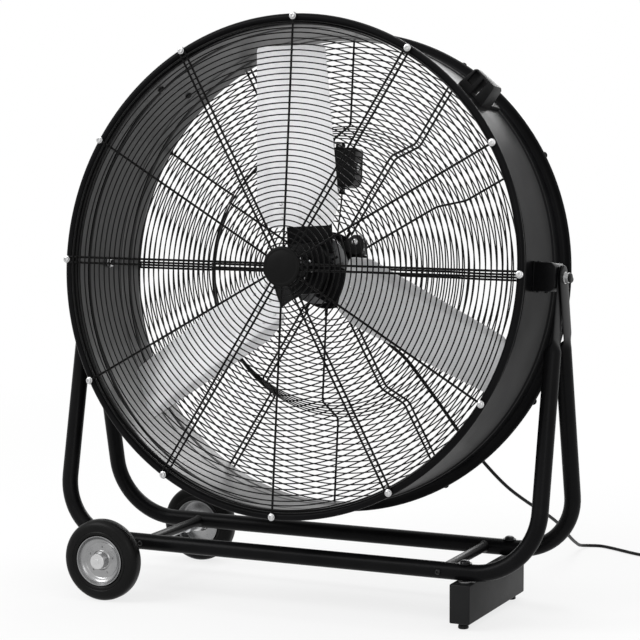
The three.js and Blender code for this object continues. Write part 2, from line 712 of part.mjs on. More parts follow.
/** Radii of a guard's rows: both edges of every ring, then the tips of the eyes. */
function guardRows(rings, innerWidth) {
  const rows = rings.flatMap((radius, index) => {
    const half = (index === 0 ? innerWidth : GUARD_RING) / 2;
    return [radius - half, radius + half];
  });
  return [...rows, BOLT_CIRCLE + TAB_WIDTH / 2];
}

/** Angles of the columns at one row: a spoke's two sides, then the steps to the next spoke. */
function guardColumns(radius, row, rowCount) {
  const isRim = row >= rowCount - 2;
  const isTip = row === rowCount - 1;
  const tabWidth = isTip ? TAB_WIDTH * 0.6 : TAB_WIDTH;
  const halfAngle = (index) => {
    const width = index % 2 === 0 ? SINGLE_SPOKE : DOUBLE_SPOKE;
    return Math.asin((isRim ? tabWidth : width) / 2 / radius);
  };
  const step = (2 * Math.PI) / SPOKE_COUNT;
  const columns = [];
  for (let i = 0; i < SPOKE_COUNT; i++) {
    const spoke = Math.PI / 2 + i * step;
    const from = spoke + halfAngle(i);
    const to = spoke + step - halfAngle(i + 1);
    columns.push(spoke - halfAngle(i));
    for (let k = 0; k < GUARD_SPAN_STEPS; k++) {
      columns.push(from + ((to - from) * k) / GUARD_SPAN_STEPS);
    }
  }
  return columns;
}

/**
 * A grille of rings and spokes, written cell by cell on rows (radii) and columns (angles), its
 * front face pushed along Y by depthAt(radius). Even rows are rings; only spokes fill the others.
 */
function guard(rings, innerWidth, depthAt) {
  const rows = guardRows(rings, innerWidth);
  const across = SPOKE_COUNT * (GUARD_SPAN_STEPS + 1);
  const vertices = [];
  for (const [row, radius] of rows.entries()) {
    for (const angle of guardColumns(radius, row, rows.length)) {
      for (const y of [0, GUARD_WIRE]) {
        vertices.push(radius * Math.cos(angle), depthAt(radius) + y, radius * Math.sin(angle));
      }
    }
  }
  const corner = (row, column, back) => 2 * (row * across + (column % across)) + back;
  const filled = (row, column) => row >= 0 && row < rows.length - 1
    && (row % 2 === 0 || ((column + across) % across) % (GUARD_SPAN_STEPS + 1) === 0);
  const faces = [];
  const quad = (a, b, c, d) => faces.push(a, b, c, a, c, d);
  for (let row = 0; row < rows.length - 1; row++) {
    for (let column = 0; column < across; column++) {
      if (!filled(row, column)) continue;
      const [a, b, c, d] = [[row, column], [row + 1, column], [row + 1, column + 1], [row, column + 1]];
      quad(corner(...a, 0), corner(...b, 0), corner(...c, 0), corner(...d, 0));
      quad(corner(...d, 1), corner(...c, 1), corner(...b, 1), corner(...a, 1));
      const wall = (p, q) => quad(corner(...p, 0), corner(...p, 1), corner(...q, 1), corner(...q, 0));
      if (!filled(row, column - 1)) wall(a, b);
      if (!filled(row, column + 1)) wall(c, d);
      if (!filled(row - 1, column)) wall(d, a);
      if (!filled(row + 1, column)) wall(b, c);
    }
  }
  const geometry = new THREE.BufferGeometry();
  geometry.setAttribute('position', new THREE.Float32BufferAttribute(vertices, 3));
  geometry.setIndex(faces);
  return geometry;
}

function ramp(value, from, to) {
  return THREE.MathUtils.clamp((value - from) / (to - from), 0, 1);
}

/** Front guard: flat, its eyes resting on the rolled rim. */
function frontGuard() {
  const grille = guard(FRONT_RINGS, GUARD_RING + 2, () => 0)
    .translate(0, FRONT_GUARD_Y - GUARD_WIRE, 0);
  const holes = spokeAngles().map((angle) => (
    atRadius(rodY(boreFor(GUARD_BOLT_SHANK, 6), -BIG / 4, 0, 6), BOLT_CIRCLE, angle)));
  return cut(grille, ...holes);
}

/** Rear guard: a flat outer band, a cone going forward and a flat middle that holds the motor. */
function rearGuard() {
  const forward = (radius) => -CONE_DEPTH * (1 - ramp(radius, CONE_INNER, CONE_OUTER));
  return guard(REAR_RINGS, MOTOR_RING_WIDTH, forward).translate(0, REAR_GUARD_Y, 0);
}

function guardBolt() {
  const bolt = domeBolt(
    GUARD_BOLT_HEAD, GUARD_BOLT_HIGH, GUARD_BOLT_SHANK, GUARD_BOLT_DEPTH + GUARD_WIRE + GAP,
  );
  return bolt.rotateX(Math.PI);
}

function badge() {
  const seat = FRONT_GUARD_Y - GUARD_WIRE - GAP;
  return turned([
    [0, seat], [BADGE_RING, seat], [BADGE_RADIUS, seat - BADGE_THICK * 0.6],
    [BADGE_RADIUS - 4, seat - BADGE_THICK], [0, seat - BADGE_THICK - 1],
  ], 24);
}

add(drum, 'drum_shell', drumShell(), blackPaint());
add(drum, 'front_guard', frontGuard(), blackPaint());
add(drum, 'rear_guard', rearGuard(), blackPaint());
add(drum, 'centre_badge', badge(), blackPlastic());
spokeAngles().forEach((angle, index) => {
  const number = String(index + 1).padStart(2, '0');
  const bolt = guardBolt().translate(0, FRONT_GUARD_Y - GUARD_WIRE - GAP, 0);
  add(drum, `guard_bolt_${number}`, atRadius(bolt, BOLT_CIRCLE, angle), zincPlate());
});

// ---------------------------------------------------------------- carry handles and brackets

/** A carry handle on the crown of the barrel at +X, its length along Y. */
function handle(side) {
  const rear = HANDLE_FRONT + HANDLE_LENGTH;
  const seat = BARREL_RADIUS - SADDLE_DEPTH;
  const base = HANDLE_BASE_WIDTH / 2;
  const top = HANDLE_TOP_WIDTH / 2;
  const body = slabY([
    [seat, -base], [BARREL_RADIUS + 6, -base], [HANDLE_TOP - 4, -top - 2], [HANDLE_TOP, -top + 2],
    [HANDLE_TOP, top - 2], [HANDLE_TOP - 4, top + 2], [BARREL_RADIUS + 6, base], [seat, base],
  ], HANDLE_FRONT, rear);
  const slotAt = -side * HANDLE_SLOT_SIDE;
  const slot = block(
    seat - 5, HANDLE_TOP - HANDLE_ROOF, HANDLE_FRONT - 5, rear + 5,
    slotAt - HANDLE_SLOT / 2, slotAt + HANDLE_SLOT / 2,
  );
  const pocketAt = side * POCKET_SIDE;
  const pocketTop = HANDLE_TOP - 4;
  const pocket = block(
    pocketTop - POCKET_HEIGHT, pocketTop, HANDLE_FRONT - 5, HANDLE_FRONT + POCKET_DEPTH,
    pocketAt - POCKET_WIDTH / 2, pocketAt + POCKET_WIDTH / 2,
  );
  const slope = Math.atan2(HANDLE_SLOPE, HANDLE_LENGTH - HANDLE_SLOPE_FROM);
  const rearCut = block(0, BIG / 4, 0, BIG / 4, -BIG / 4, BIG / 4).rotateZ(slope)
    .translate(HANDLE_TOP, HANDLE_FRONT + HANDLE_SLOPE_FROM, 0);
  const barrel = rodY(boreFor(BARREL_RADIUS, 96), -BIG / 4, BIG / 4, 96);
  const rib = rodY(
    boreFor(BARREL_RADIUS + RIB_HEIGHT, 96), REAR_RIB_Y - RIB_WIDTH / 2 - GAP, BIG / 4, 96,
  );
  return cut(body, slot, pocket, rearCut, barrel, rib);
}

/** The block that carries a pivot, seated on the side of the barrel and bored for the bolt. */
function pivotBracket() {
  const high = BRACKET_HEIGHT / 2;
  const face = FLAT_INNER_X - GAP;
  const root = BARREL_RADIUS - SADDLE_DEPTH;
  const outline = [
    [root, -high], [face - BRACKET_TAPER, -high], [face, -high + BRACKET_TAPER],
    [face, high - BRACKET_TAPER], [face - BRACKET_TAPER, high], [root, high],
  ];
  const body = slabY(outline, -BRACKET_DEPTH / 2, BRACKET_DEPTH / 2);
  const barrel = rodY(boreFor(BARREL_RADIUS, 96), -BIG / 4, BIG / 4, 96);
  const bore = rodX(boreFor(PIVOT_BOLT_RADIUS, 12), 0, BIG / 2, 12);
  return cut(body, barrel, bore);
}

for (const [sideName, side] of SIDES) {
  const grip = handle(side);
  const angle = side > 0 ? HANDLE_ANGLE : 180 - HANDLE_ANGLE;
  add(drum, `handle_${sideName}`, grip.rotateY(-rad(angle)), blackPlastic());
  const bracket = add(drum, `pivot_bracket_${sideName}`, pivotBracket(), blackPaint());
  if (side < 0) bracket.rotation.y = Math.PI;
}

// ---------------------------------------------------------------- motor, boxes, knob

const MOTOR_BACK = MOTOR_FRONT + MOTOR_LENGTH;
const FLANGE_Y = REAR_INNER_Y - GAP - MOTOR_FLANGE;

/** The motor, with the flange that bolts to the rear guard's middle ring. */
function motorBody() {
  const shaftBore = boreFor(SHAFT_RADIUS, 20);
  const tail = MOTOR_BACK + MOTOR_TAIL;
  const boreEnd = MOTOR_FRONT + SHAFT_DEPTH + BORE_RUN_OUT;
  return turned([
    [shaftBore, MOTOR_FRONT], [MOTOR_RADIUS, MOTOR_FRONT], [MOTOR_RADIUS, FLANGE_Y],
    [MOTOR_FLANGE_RADIUS, FLANGE_Y], [MOTOR_FLANGE_RADIUS, FLANGE_Y + MOTOR_FLANGE],
    [MOTOR_RADIUS, FLANGE_Y + MOTOR_FLANGE], [MOTOR_RADIUS, MOTOR_BACK - 6],
    [MOTOR_RADIUS - 10, MOTOR_BACK + 4], [MOTOR_RADIUS - 32, tail], [0, tail],
    [0, boreEnd], [shaftBore, boreEnd],
  ], MOTOR_SEGMENTS);
}

function motorEndBell() {
  const bore = boreFor(SHAFT_RADIUS, 20);
  const back = MOTOR_FRONT - GAP;
  const front = back - END_BELL_LENGTH;
  return turned([
    [bore, back], [bore, front - 2], [END_BELL_NOSE - 2, front - 2], [END_BELL_NOSE, front + 2],
    [MOTOR_RADIUS - 8, front + 6], [MOTOR_RADIUS + 2, back - 5], [MOTOR_RADIUS + 2, back],
  ], MOTOR_SEGMENTS);
}

/** The box that holds the speed switch, with an ear at each end, on the rear guard's middle. */
function switchBox() {
  const { width, depth, height } = SWITCH_BOX;
  const half = width / 2;
  const tall = height / 2 - BOX_EAR;
  const body = slabY([
    [-half + 4, -tall], [half - 4, -tall], [half, -tall + 4], [half, tall - 4],
    [half - 4, tall], [-half + 4, tall], [-half, tall - 4], [-half, -tall + 4],
  ], 0, depth);
  const ear = block(-10, 10, 0, BOX_WALL, -height / 2, height / 2);
  const stemHole = rodY(boreFor(KNOB_STEM, 12), depth - 14, depth + 5, 12);
  return cut(join(body, ear), stemHole);
}

function speedKnob() {
  const grip = turned([
    [0, -10], [KNOB_STEM, -10], [KNOB_STEM, 0], [KNOB_RADIUS, 0], [KNOB_RADIUS, 2],
    [KNOB_RADIUS - 3, 4], [KNOB_RADIUS - 4, KNOB_HIGH - 1], [KNOB_RADIUS - 5, KNOB_HIGH],
    [0, KNOB_HIGH],
  ], 16);
  const pointer = block(-1.6, 1.6, 2, KNOB_HIGH + 1.2, 3, KNOB_RADIUS - 4.5);
  return join(grip, pointer);
}

/** The terminal box, saddled on the side of the motor, against its flange. */
function cableBox() {
  const { width, depth, height, x, z } = CABLE_BOX;
  const back = FLANGE_Y - GAP;
  const body = block(
    x - width / 2, x + width / 2, back - depth, back, z - height / 2, z + height / 2,
  );
  const motor = rodY(sleeveFor(MOTOR_RADIUS, MOTOR_SEGMENTS), -BIG / 4, BIG / 4, MOTOR_SEGMENTS);
  return cut(body, motor);
}

function cordGland() {
  return turned([
    [0, 0], [GLAND_RADIUS, 0], [GLAND_RADIUS, 7], [GLAND_RADIUS - 2, 8],
    [CORD_RADIUS + 1.8, GLAND_LENGTH], [0, GLAND_LENGTH],
  ], 12);
}

const GLAND_X = CABLE_BOX.x + 12;
const GLAND_Y = FLANGE_Y - GAP - CABLE_BOX.depth / 2;
const GLAND_Z = CABLE_BOX.z - CABLE_BOX.height / 2 - GAP;
const BOX_Y = REAR_INNER_Y + GUARD_WIRE + GAP;

add(drum, 'motor_body', motorBody(), blackPaint());
add(drum, 'motor_end_bell', motorEndBell(), castGrey());
const box = add(drum, 'switch_box', switchBox(), blackPlastic());
box.position.set(SWITCH_BOX.x, BOX_Y, SWITCH_BOX.z);
const knob = add(drum, 'speed_knob', speedKnob(), blackPlastic());
knob.position.set(SWITCH_BOX.x, BOX_Y + SWITCH_BOX.depth + GAP, SWITCH_BOX.z);
add(drum, 'cable_box', cableBox(), blackPlastic());
const gland = add(drum, 'cord_gland', cordGland(), blackRubber());
gland.rotation.x = -Math.PI / 2;
gland.position.set(GLAND_X, GLAND_Y, GLAND_Z);

// ---------------------------------------------------------------- rotor

/** A sheet blade along +X: pitched, creased near one edge and cut to its outline. */
function blade() {
  const half = 2 * SHOULDER_EDGES[1];
  const bend = Math.tan(rad(BLADE_BEND));
  const strip = (v) => (v > BLADE_CREASE ? -(v - BLADE_CREASE) * bend : 0);
  const across = [-half, BLADE_CREASE, half];
  const section = [
    ...across.map((v) => [v, strip(v)]),
    ...across.map((v) => [v, strip(v) + BLADE_SHEET]).reverse(),
  ];
  const shape = new THREE.Shape(section.map(([v, y]) => new THREE.Vector2(v, y)));
  const bar = new THREE.ExtrudeGeometry(shape, { depth: BLADE_TIP, bevelEnabled: false });
  // shape x runs across the blade (to +Z), shape y through the sheet, depth along +X
  bar.applyMatrix4(new THREE.Matrix4().makeBasis(
    new THREE.Vector3(0, 0, 1), new THREE.Vector3(0, 1, 0), new THREE.Vector3(-1, 0, 0),
  )).translate(BLADE_TIP, 0, 0);
  const outline = slabY([
    [BLADE_ROOT, ROOT_EDGES[0]], [BLADE_SHOULDER, SHOULDER_EDGES[0]],
    [BLADE_TIP - 8, TIP_EDGES[0]], [BLADE_TIP, TIP_EDGES[0] + 8],
    [BLADE_TIP, TIP_EDGES[1] - 8], [BLADE_TIP - 8, TIP_EDGES[1]],
    [BLADE_SHOULDER, SHOULDER_EDGES[1]], [BLADE_ROOT, ROOT_EDGES[1]],
  ], -BIG / 8, BIG / 8);
  return toGeometry(toSolid(bar).intersect(toSolid(outline)));
}

/** The spider: a many-sided hub plate, a boss and an arm behind each blade. */
function hubSpider() {
  const plate = new THREE.CylinderGeometry(HUB_RADIUS, HUB_RADIUS, HUB_THICK, HUB_SIDES)
    .translate(0, ROTOR_Y, 0);
  const boss = rodY(HUB_BOSS_RADIUS, ROTOR_Y - HUB_BOSS_LENGTH / 2, ROTOR_Y + HUB_BOSS_LENGTH / 2, 24);
  const arms = bladeAngles().map((angle) => {
    const low = BLADE_SHEET + GAP;
    const arm = block(HUB_RADIUS / 2, ARM_LENGTH, low, low + ARM_THICK, ...ARM_EDGES);
    return placeBlade(arm, angle);
  });
  const bore = rodY(boreFor(SHAFT_RADIUS, 24), -BIG / 4, BIG / 4, 24);
  return cut(join(plate, boss, ...arms), bore);
}

function bladeAngles() {
  return Array.from({ length: BLADE_COUNT }, (_, i) => BLADE_ANGLE - (360 * i) / BLADE_COUNT);
}

/** Pitches a shape about its own length, then turns it to its place round the axis. */
function placeBlade(geometry, angle) {
  return geometry.rotateX(rad(BLADE_PITCH)).translate(0, ROTOR_Y, 0).rotateY(-rad(angle));
}

/** The motor's shaft, with the nut that holds the hub on it. */
function fanShaft() {
  const front = ROTOR_Y - HUB_BOSS_LENGTH / 2 - GAP;
  return turned([
    [0, front - SHAFT_NUT_HIGH - SHAFT_THREAD],
    [SHAFT_RADIUS - 2, front - SHAFT_NUT_HIGH - SHAFT_THREAD],
    [SHAFT_RADIUS - 2, front - SHAFT_NUT_HIGH], [SHAFT_NUT_RADIUS, front - SHAFT_NUT_HIGH],
    [SHAFT_NUT_RADIUS, front], [SHAFT_RADIUS, front], [SHAFT_RADIUS, MOTOR_FRONT + SHAFT_DEPTH],
    [0, MOTOR_FRONT + SHAFT_DEPTH],
  ], 16);
}

const rotor = new THREE.Group();
drum.add(rotor);
add(rotor, 'hub_spider', hubSpider(), blackPaint());
add(rotor, 'fan_shaft', fanShaft(), zincPlate());
bladeAngles().forEach((angle, index) => {
  add(rotor, `blade_${index + 1}`, placeBlade(blade(), angle), bareAluminium());
});

// ---------------------------------------------------------------- power cord

/** A place given in the drum's own frame, in the fan's frame at rest. */
function fromDrum(x, y, z) {
  drum.updateMatrix();
  return new THREE.Vector3(x, y, z).applyMatrix4(drum.matrix);
}

/** Turns that spiral in on the floor, climb a layer and spiral out again. */
function coilPoints() {
  const points = [];
  const steps = Math.round(COIL_LOOPS * LOOP_STEPS);
  const half = COIL_LOOPS / 2;
  for (let i = 0; i <= steps; i++) {
    const loop = i / LOOP_STEPS;
    const turn = Math.PI / 2 - 2 * Math.PI * loop;
    const inward = loop < half ? loop : COIL_LOOPS - loop;
    const radius = COIL_RADIUS + COIL_PITCH * (half / 2 - inward);
    const climb = ramp(loop, half - 0.25, half + 0.25);
    points.push(new THREE.Vector3(
      COIL_CENTRE[0] + radius * Math.cos(turn),
      COIL_CENTRE[1] + radius * Math.sin(turn),
      CORD_RADIUS + GAP + climb * COIL_PITCH,
    ));
  }
  return points;
}

const coil = coilPoints();
const coilStart = coil[0];
const coilEnd = coil[coil.length - 1];

/** The level direction in which a path leaves its end point. */
function heading(end, before) {
  return end.clone().sub(before).setZ(0).normalize();
}

const coilIn = heading(coilStart, coil[1]);
const coilOut = heading(coilEnd, coil[coil.length - 2]);
const coilMouth = coilStart.clone().addScaledVector(coilIn, 2 * CORD_RADIUS);
const plugSeat = coilEnd.clone().addScaledVector(coilOut, COIL_TAIL);

function cordCurve() {
  const exit = fromDrum(GLAND_X, GLAND_Y, GLAND_Z - GLAND_LENGTH - GAP);
  const below = fromDrum(GLAND_X, GLAND_Y, GLAND_Z - GLAND_LENGTH - CORD_EXIT_RUN);
  const route = CORD_ROUTE.map(([x, y, z]) => new THREE.Vector3(x, y, z));
  const meet = coilMouth.clone().addScaledVector(coilIn, GAP);
  const approach = coilMouth.clone().addScaledVector(coilIn, CORD_EXIT_RUN);
  return new THREE.CatmullRomCurve3([exit, below, ...route, approach, meet], false, 'centripetal');
}

const cord = cordCurve();
add(fan, 'power_cord', pipe(cord.getSpacedPoints(CORD_STEPS), CORD_RADIUS, CORD_SIDES), blackRubber());

add(fan, 'cord_coil', pipe([coilMouth, ...coil, plugSeat], CORD_RADIUS, LOOP_SIDES), blackRubber());

/** A plain three-pin plug, its cord end at the origin and its pins along +X. */
function powerPlug() {
  const { length, width, high, pinRadius, pinLength, pinSpacing } = PLUG;
  const outline = [
    [0, -7], [12, -9], [20, -width / 2], [length, -width / 2], [length, width / 2],
    [20, width / 2], [12, 9], [0, 7],
  ];
  const shape = new THREE.Shape(outline.map(([x, y]) => new THREE.Vector2(x, y)));
  const body = new THREE.ExtrudeGeometry(shape, {
    depth: high - 6, bevelSize: 2.5, bevelThickness: 3, bevelSegments: 1, bevelOffset: -2.5,
  }).translate(0, 0, 3 - high / 2);
  const pins = [-1, 1].map((side) => rodX(pinRadius, length - 4, length + pinLength, 8)
    .translate(0, (side * pinSpacing) / 2, 0));
  return join(body, ...pins);
}

const plug = add(fan, 'power_plug', powerPlug(), blackPlastic());
plug.rotation.z = Math.atan2(coilOut.y, coilOut.x);
plug.position.copy(plugSeat).addScaledVector(coilOut, GAP);

/** Least gap between a wound tube's surface and itself, over stretches more than half a turn apart. */
function leastGap(points) {
  let least = Infinity;
  for (let i = 0; i < points.length; i++) {
    for (let j = i + LOOP_STEPS / 2; j < points.length; j++) {
      least = Math.min(least, points[i].distanceTo(points[j]) - 2 * CORD_RADIUS);
    }
  }
  return least;
}

console.log(`cord: ${cord.getLength().toFixed(0)} mm from gland to coil`);
console.log(`least gap in the coil: ${leastGap(coil).toFixed(2)} mm`);

export default fan;
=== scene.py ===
"""The looks of a wheeled drum fan: every visible piece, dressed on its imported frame.

Sizes are in millimetres in each class and become metres where a piece is placed. The drum's own
frame has its origin on the pivot axis, +Y to the drum's rear and +Z to its crown.
"""

from __future__ import annotations

import logging
import math
from dataclasses import dataclass, field
from enum import Enum
from typing import Iterable, Mapping, Optional, Sequence

import bmesh
import bpy
from mathutils import Matrix, Vector

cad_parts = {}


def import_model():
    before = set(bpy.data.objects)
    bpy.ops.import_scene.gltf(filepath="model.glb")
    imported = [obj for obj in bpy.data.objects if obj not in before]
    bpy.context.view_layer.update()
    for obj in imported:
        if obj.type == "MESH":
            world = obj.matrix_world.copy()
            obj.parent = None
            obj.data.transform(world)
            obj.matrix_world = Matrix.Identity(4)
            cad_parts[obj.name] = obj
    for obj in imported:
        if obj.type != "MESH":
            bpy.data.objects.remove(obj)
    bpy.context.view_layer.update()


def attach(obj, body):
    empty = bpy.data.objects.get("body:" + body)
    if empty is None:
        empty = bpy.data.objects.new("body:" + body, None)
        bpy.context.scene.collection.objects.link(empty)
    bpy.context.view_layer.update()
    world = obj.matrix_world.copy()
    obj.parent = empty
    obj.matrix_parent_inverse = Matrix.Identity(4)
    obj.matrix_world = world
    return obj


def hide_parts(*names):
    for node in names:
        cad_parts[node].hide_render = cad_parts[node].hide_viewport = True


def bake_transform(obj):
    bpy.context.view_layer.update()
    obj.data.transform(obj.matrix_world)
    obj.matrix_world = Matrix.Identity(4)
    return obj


LOG = logging.getLogger("drum_fan")
MM = 0.001
TURN = 2 * math.pi
WELD = 0.001
SHOULDER = 0.12
SPLINE_CUTS = 40
WHITE = (1.0, 1.0, 1.0, 1.0)
Point = Sequence[float]
Profile = Sequence[tuple[float, float]]


class Side(Enum):
    """Left or right of the fan as seen from its front."""

    LEFT = -1
    RIGHT = 1


class End(Enum):
    """Front or rear of the fan."""

    FRONT = -1
    REAR = 1


class Body(Enum):
    """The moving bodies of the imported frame."""

    BASE = "base"
    DRUM = "drum"
    ROTOR = "rotor"
    WHEEL_FRONT = "wheel_front"
    WHEEL_REAR = "wheel_rear"
    KNOB = "knob"

    def frame(self) -> Matrix:
        """The frame its pieces are drawn in: the drum's for all that tilts, else the floor's."""
        tilting = (Body.DRUM, Body.ROTOR, Body.KNOB)
        return PLACE.drum() if self in tilting else PLACE.floor()


@dataclass(frozen=True)
class Place:
    """Where a piece's own millimetre frame lies in the fan's metre frame."""

    pivot_height: float = 646.0
    tilt: float = math.radians(6.27)

    def floor(self) -> Matrix:
        """The frame on the floor, under the pivot axis."""
        return Matrix.Scale(MM, 4)

    def drum(self) -> Matrix:
        """The drum's frame, leaning back."""
        lift = Matrix.Translation((0, 0, self.pivot_height * MM))
        return lift @ Matrix.Rotation(-self.tilt, 4, "X") @ Matrix.Scale(MM, 4)


PLACE = Place()


def about_y(angle: float) -> Matrix:
    """A turn about the drum's axis, in degrees up from +X.

    Args:
        angle: Degrees, counter-clockwise as seen from the front.

    Returns:
        The rotation as a 4x4 matrix.
    """
    return Matrix.Rotation(-math.radians(angle), 4, "Y")


def move(x: float = 0.0, y: float = 0.0, z: float = 0.0) -> Matrix:
    """A shift as a matrix."""
    return Matrix.Translation((x, y, z))


# ---------------------------------------------------------------- mesh work


class Shape:
    """A bmesh under work, in millimetres, with the operators that shape it."""

    def __init__(self) -> None:
        """Starts with nothing."""
        self.bm = bmesh.new()

    def transform(self, matrix: Matrix) -> "Shape":
        """Moves the whole shape."""
        bmesh.ops.transform(self.bm, matrix=matrix, verts=self.bm.verts[:])
        return self

    def add(self, other: "Shape", matrix: Optional[Matrix] = None) -> "Shape":
        """Takes in a copy of another shape.

        Args:
            other: The shape to copy in; it is kept as it was.
            matrix: Where the copy goes.

        Returns:
            The shape itself.
        """
        mesh = bpy.data.meshes.new("copy")
        other.bm.to_mesh(mesh)
        if matrix is not None:
            mesh.transform(matrix)
        self.bm.from_mesh(mesh)
        bpy.data.meshes.remove(mesh)
        return self

    def around(self, other: "Shape", angles: Iterable[float]) -> "Shape":
        """Takes in copies of a shape turned about the Y axis.

        Args:
            other: The shape, drawn along +X.
            angles: Degrees up from +X, one for each copy.

        Returns:
            The shape itself.
        """
        for angle in angles:
            self.add(other, about_y(angle))
        return self

    def bevel(self, width: float, segments: int = 2, sharper_than: float = 0.5) -> "Shape":
        """Rounds every edge that folds more than an angle.

        Args:
            width: Width of the bevel.
            segments: Faces across it.
            sharper_than: The fold in radians past which an edge is rounded.

        Returns:
            The shape itself.
        """
        edges = [
            edge
            for edge in self.bm.edges
            if len(edge.link_faces) == 2 and edge.calc_face_angle(0.0) > sharper_than
        ]
        bmesh.ops.bevel(
            self.bm, geom=edges, offset=width, segments=segments, profile=0.5,
            affect="EDGES", material=-1, clamp_overlap=True,
        )
        return self

    def sink(self, faces: Iterable, margin: float, shift: Point) -> list:
        """Frames a patch of faces with a margin and moves its inside in or out.

        Args:
            faces: The patch.
            margin: Width of the frame that stays level.
            shift: The move of the inside.

        Returns:
            The faces inside the frame.
        """
        patch = list(faces)
        for width in (margin, SHOULDER):
            bmesh.ops.inset_region(self.bm, faces=patch, thickness=width, use_even_offset=True)
        inner = {vert for face in patch for vert in face.verts}
        bmesh.ops.translate(self.bm, vec=shift, verts=list(inner))
        return patch

    def facing(self, way: Point, beyond: float = 0.9) -> list:
        """Finds the faces that look one way.

        Args:
            way: The direction.
            beyond: The least agreement, 1 being exact.

        Returns:
            The faces.
        """
        aim = Vector(way).normalized()
        self.bm.normal_update()
        return [face for face in self.bm.faces if face.normal.dot(aim) > beyond]

    def face_out(self) -> "Shape":
        """Merges doubles and turns every face outwards.

        Returns:
            The shape itself.
        """
        bmesh.ops.remove_doubles(self.bm, verts=self.bm.verts[:], dist=WELD)
        bmesh.ops.recalc_face_normals(self.bm, faces=self.bm.faces[:])
        return self

    def spin(self, segments: int) -> "Shape":
        """Spins the drawn edges a full turn about the Y axis.

        Args:
            segments: Steps in the turn.

        Returns:
            The shape itself, closed.
        """
        bmesh.ops.spin(
            self.bm, geom=[*self.bm.verts, *self.bm.edges], cent=(0, 0, 0), axis=(0, 1, 0),
            dvec=(0, 0, 0), angle=TURN, steps=segments, use_merge=True, use_duplicate=False,
        )
        return self.face_out()


def turned(profile: Profile, segments: int = 48) -> Shape:
    """Spins a profile about the Y axis.

    Args:
        profile: Points of (radius, y); a loop, or a line that starts and ends on the axis.
        segments: Steps in the full turn.

    Returns:
        The closed shape.
    """
    shape = Shape()
    verts = [shape.bm.verts.new((radius, y, 0.0)) for radius, y in profile]
    pairs = list(zip(verts, verts[1:]))
    if profile[0][0] > 0 or profile[-1][0] > 0:
        pairs.append((verts[-1], verts[0]))
    for pair in pairs:
        shape.bm.edges.new(pair)
    return shape.spin(segments)


def washer(bore: float, radius: float, y0: float, y1: float, segments: int = 32) -> Shape:
    """A flat ring about the Y axis."""
    return turned([(bore, y0), (radius, y0), (radius, y1), (bore, y1)], segments)


def block(size: Point, centre: Point = (0, 0, 0), round_by: float = 0.0, segments: int = 2) -> Shape:
    """A box with rounded edges.

    Args:
        size: Full lengths along X, Y and Z.
        centre: Its middle.
        round_by: Width of the bevel on every edge.
        segments: Faces across the bevel.

    Returns:
        The shape.
    """
    shape = Shape()
    bmesh.ops.create_cube(shape.bm, size=1.0)
    shape.transform(Matrix.Diagonal((*size, 1.0))).transform(move(*centre))
    return shape.bevel(round_by, segments) if round_by else shape


def prism(outline: Profile, y0: float, y1: float, round_by: float = 0.0, segments: int = 2) -> Shape:
    """Pushes an outline in X and Z along Y.

    Args:
        outline: Corner points of (x, z).
        y0: Where it starts.
        y1: Where it ends.
        round_by: Width of the bevel on every edge.
        segments: Faces across the bevel.

    Returns:
        The shape.
    """
    shape = Shape()
    face = shape.bm.faces.new([shape.bm.verts.new((x, y0, z)) for x, z in outline])
    pushed = bmesh.ops.extrude_face_region(shape.bm, geom=[face])["geom"]
    tops = [item for item in pushed if isinstance(item, bmesh.types.BMVert)]
    bmesh.ops.translate(shape.bm, vec=(0, y1 - y0, 0), verts=tops)
    shape.face_out()
    return shape.bevel(round_by, segments) if round_by else shape


def rod(radius: float, y0: float, y1: float, segments: int = 16, edge: float = 0.0) -> Shape:
    """A round bar along Y with broken edges.

    Args:
        radius: Its radius.
        y0: Where it starts.
        y1: Where it ends.
        segments: Sides.
        edge: Width of the chamfer at both ends.

    Returns:
        The shape.
    """
    if edge <= 0:
        return turned([(0, y0), (radius, y0), (radius, y1), (0, y1)], segments)
    return turned(
        [(0, y0), (radius - edge, y0), (radius, y0 + edge), (radius, y1 - edge),
         (radius - edge, y1), (0, y1)], segments,
    )


def hexagon(across: float, y0: float, y1: float, dish: float) -> Shape:
    """A hexagonal head with chamfered corners.

    Args:
        across: Width over its corners.
        y0: Its seat.
        y1: Its top.
        dish: Width of the chamfer on the top.

    Returns:
        The shape.
    """
    radius = across / 2
    top = y1 - dish * 0.5 * (1 if y1 > y0 else -1)
    return turned([(0, y0), (radius, y0), (radius, top), (radius - dish, y1), (0, y1)], 6)


def button_screw(head: float, high: float, shank: float, deep: float = 12.0) -> Shape:
    """A button-head screw with a sunk socket; its head points along +Y and sits on y = 0.

    Args:
        head: Radius of the head.
        high: Height of the head.
        shank: Radius of the shank.
        deep: Length of the shank.

    Returns:
        The screw.
    """
    socket = head * 0.42
    return turned([
        (0, -deep), (shank, -deep), (shank, 0), (head, 0), (head, high * 0.35),
        (head * 0.86, high * 0.72), (head * 0.62, high * 0.95), (socket, high),
        (socket, high * 0.4), (0, high * 0.35),
    ], 24)


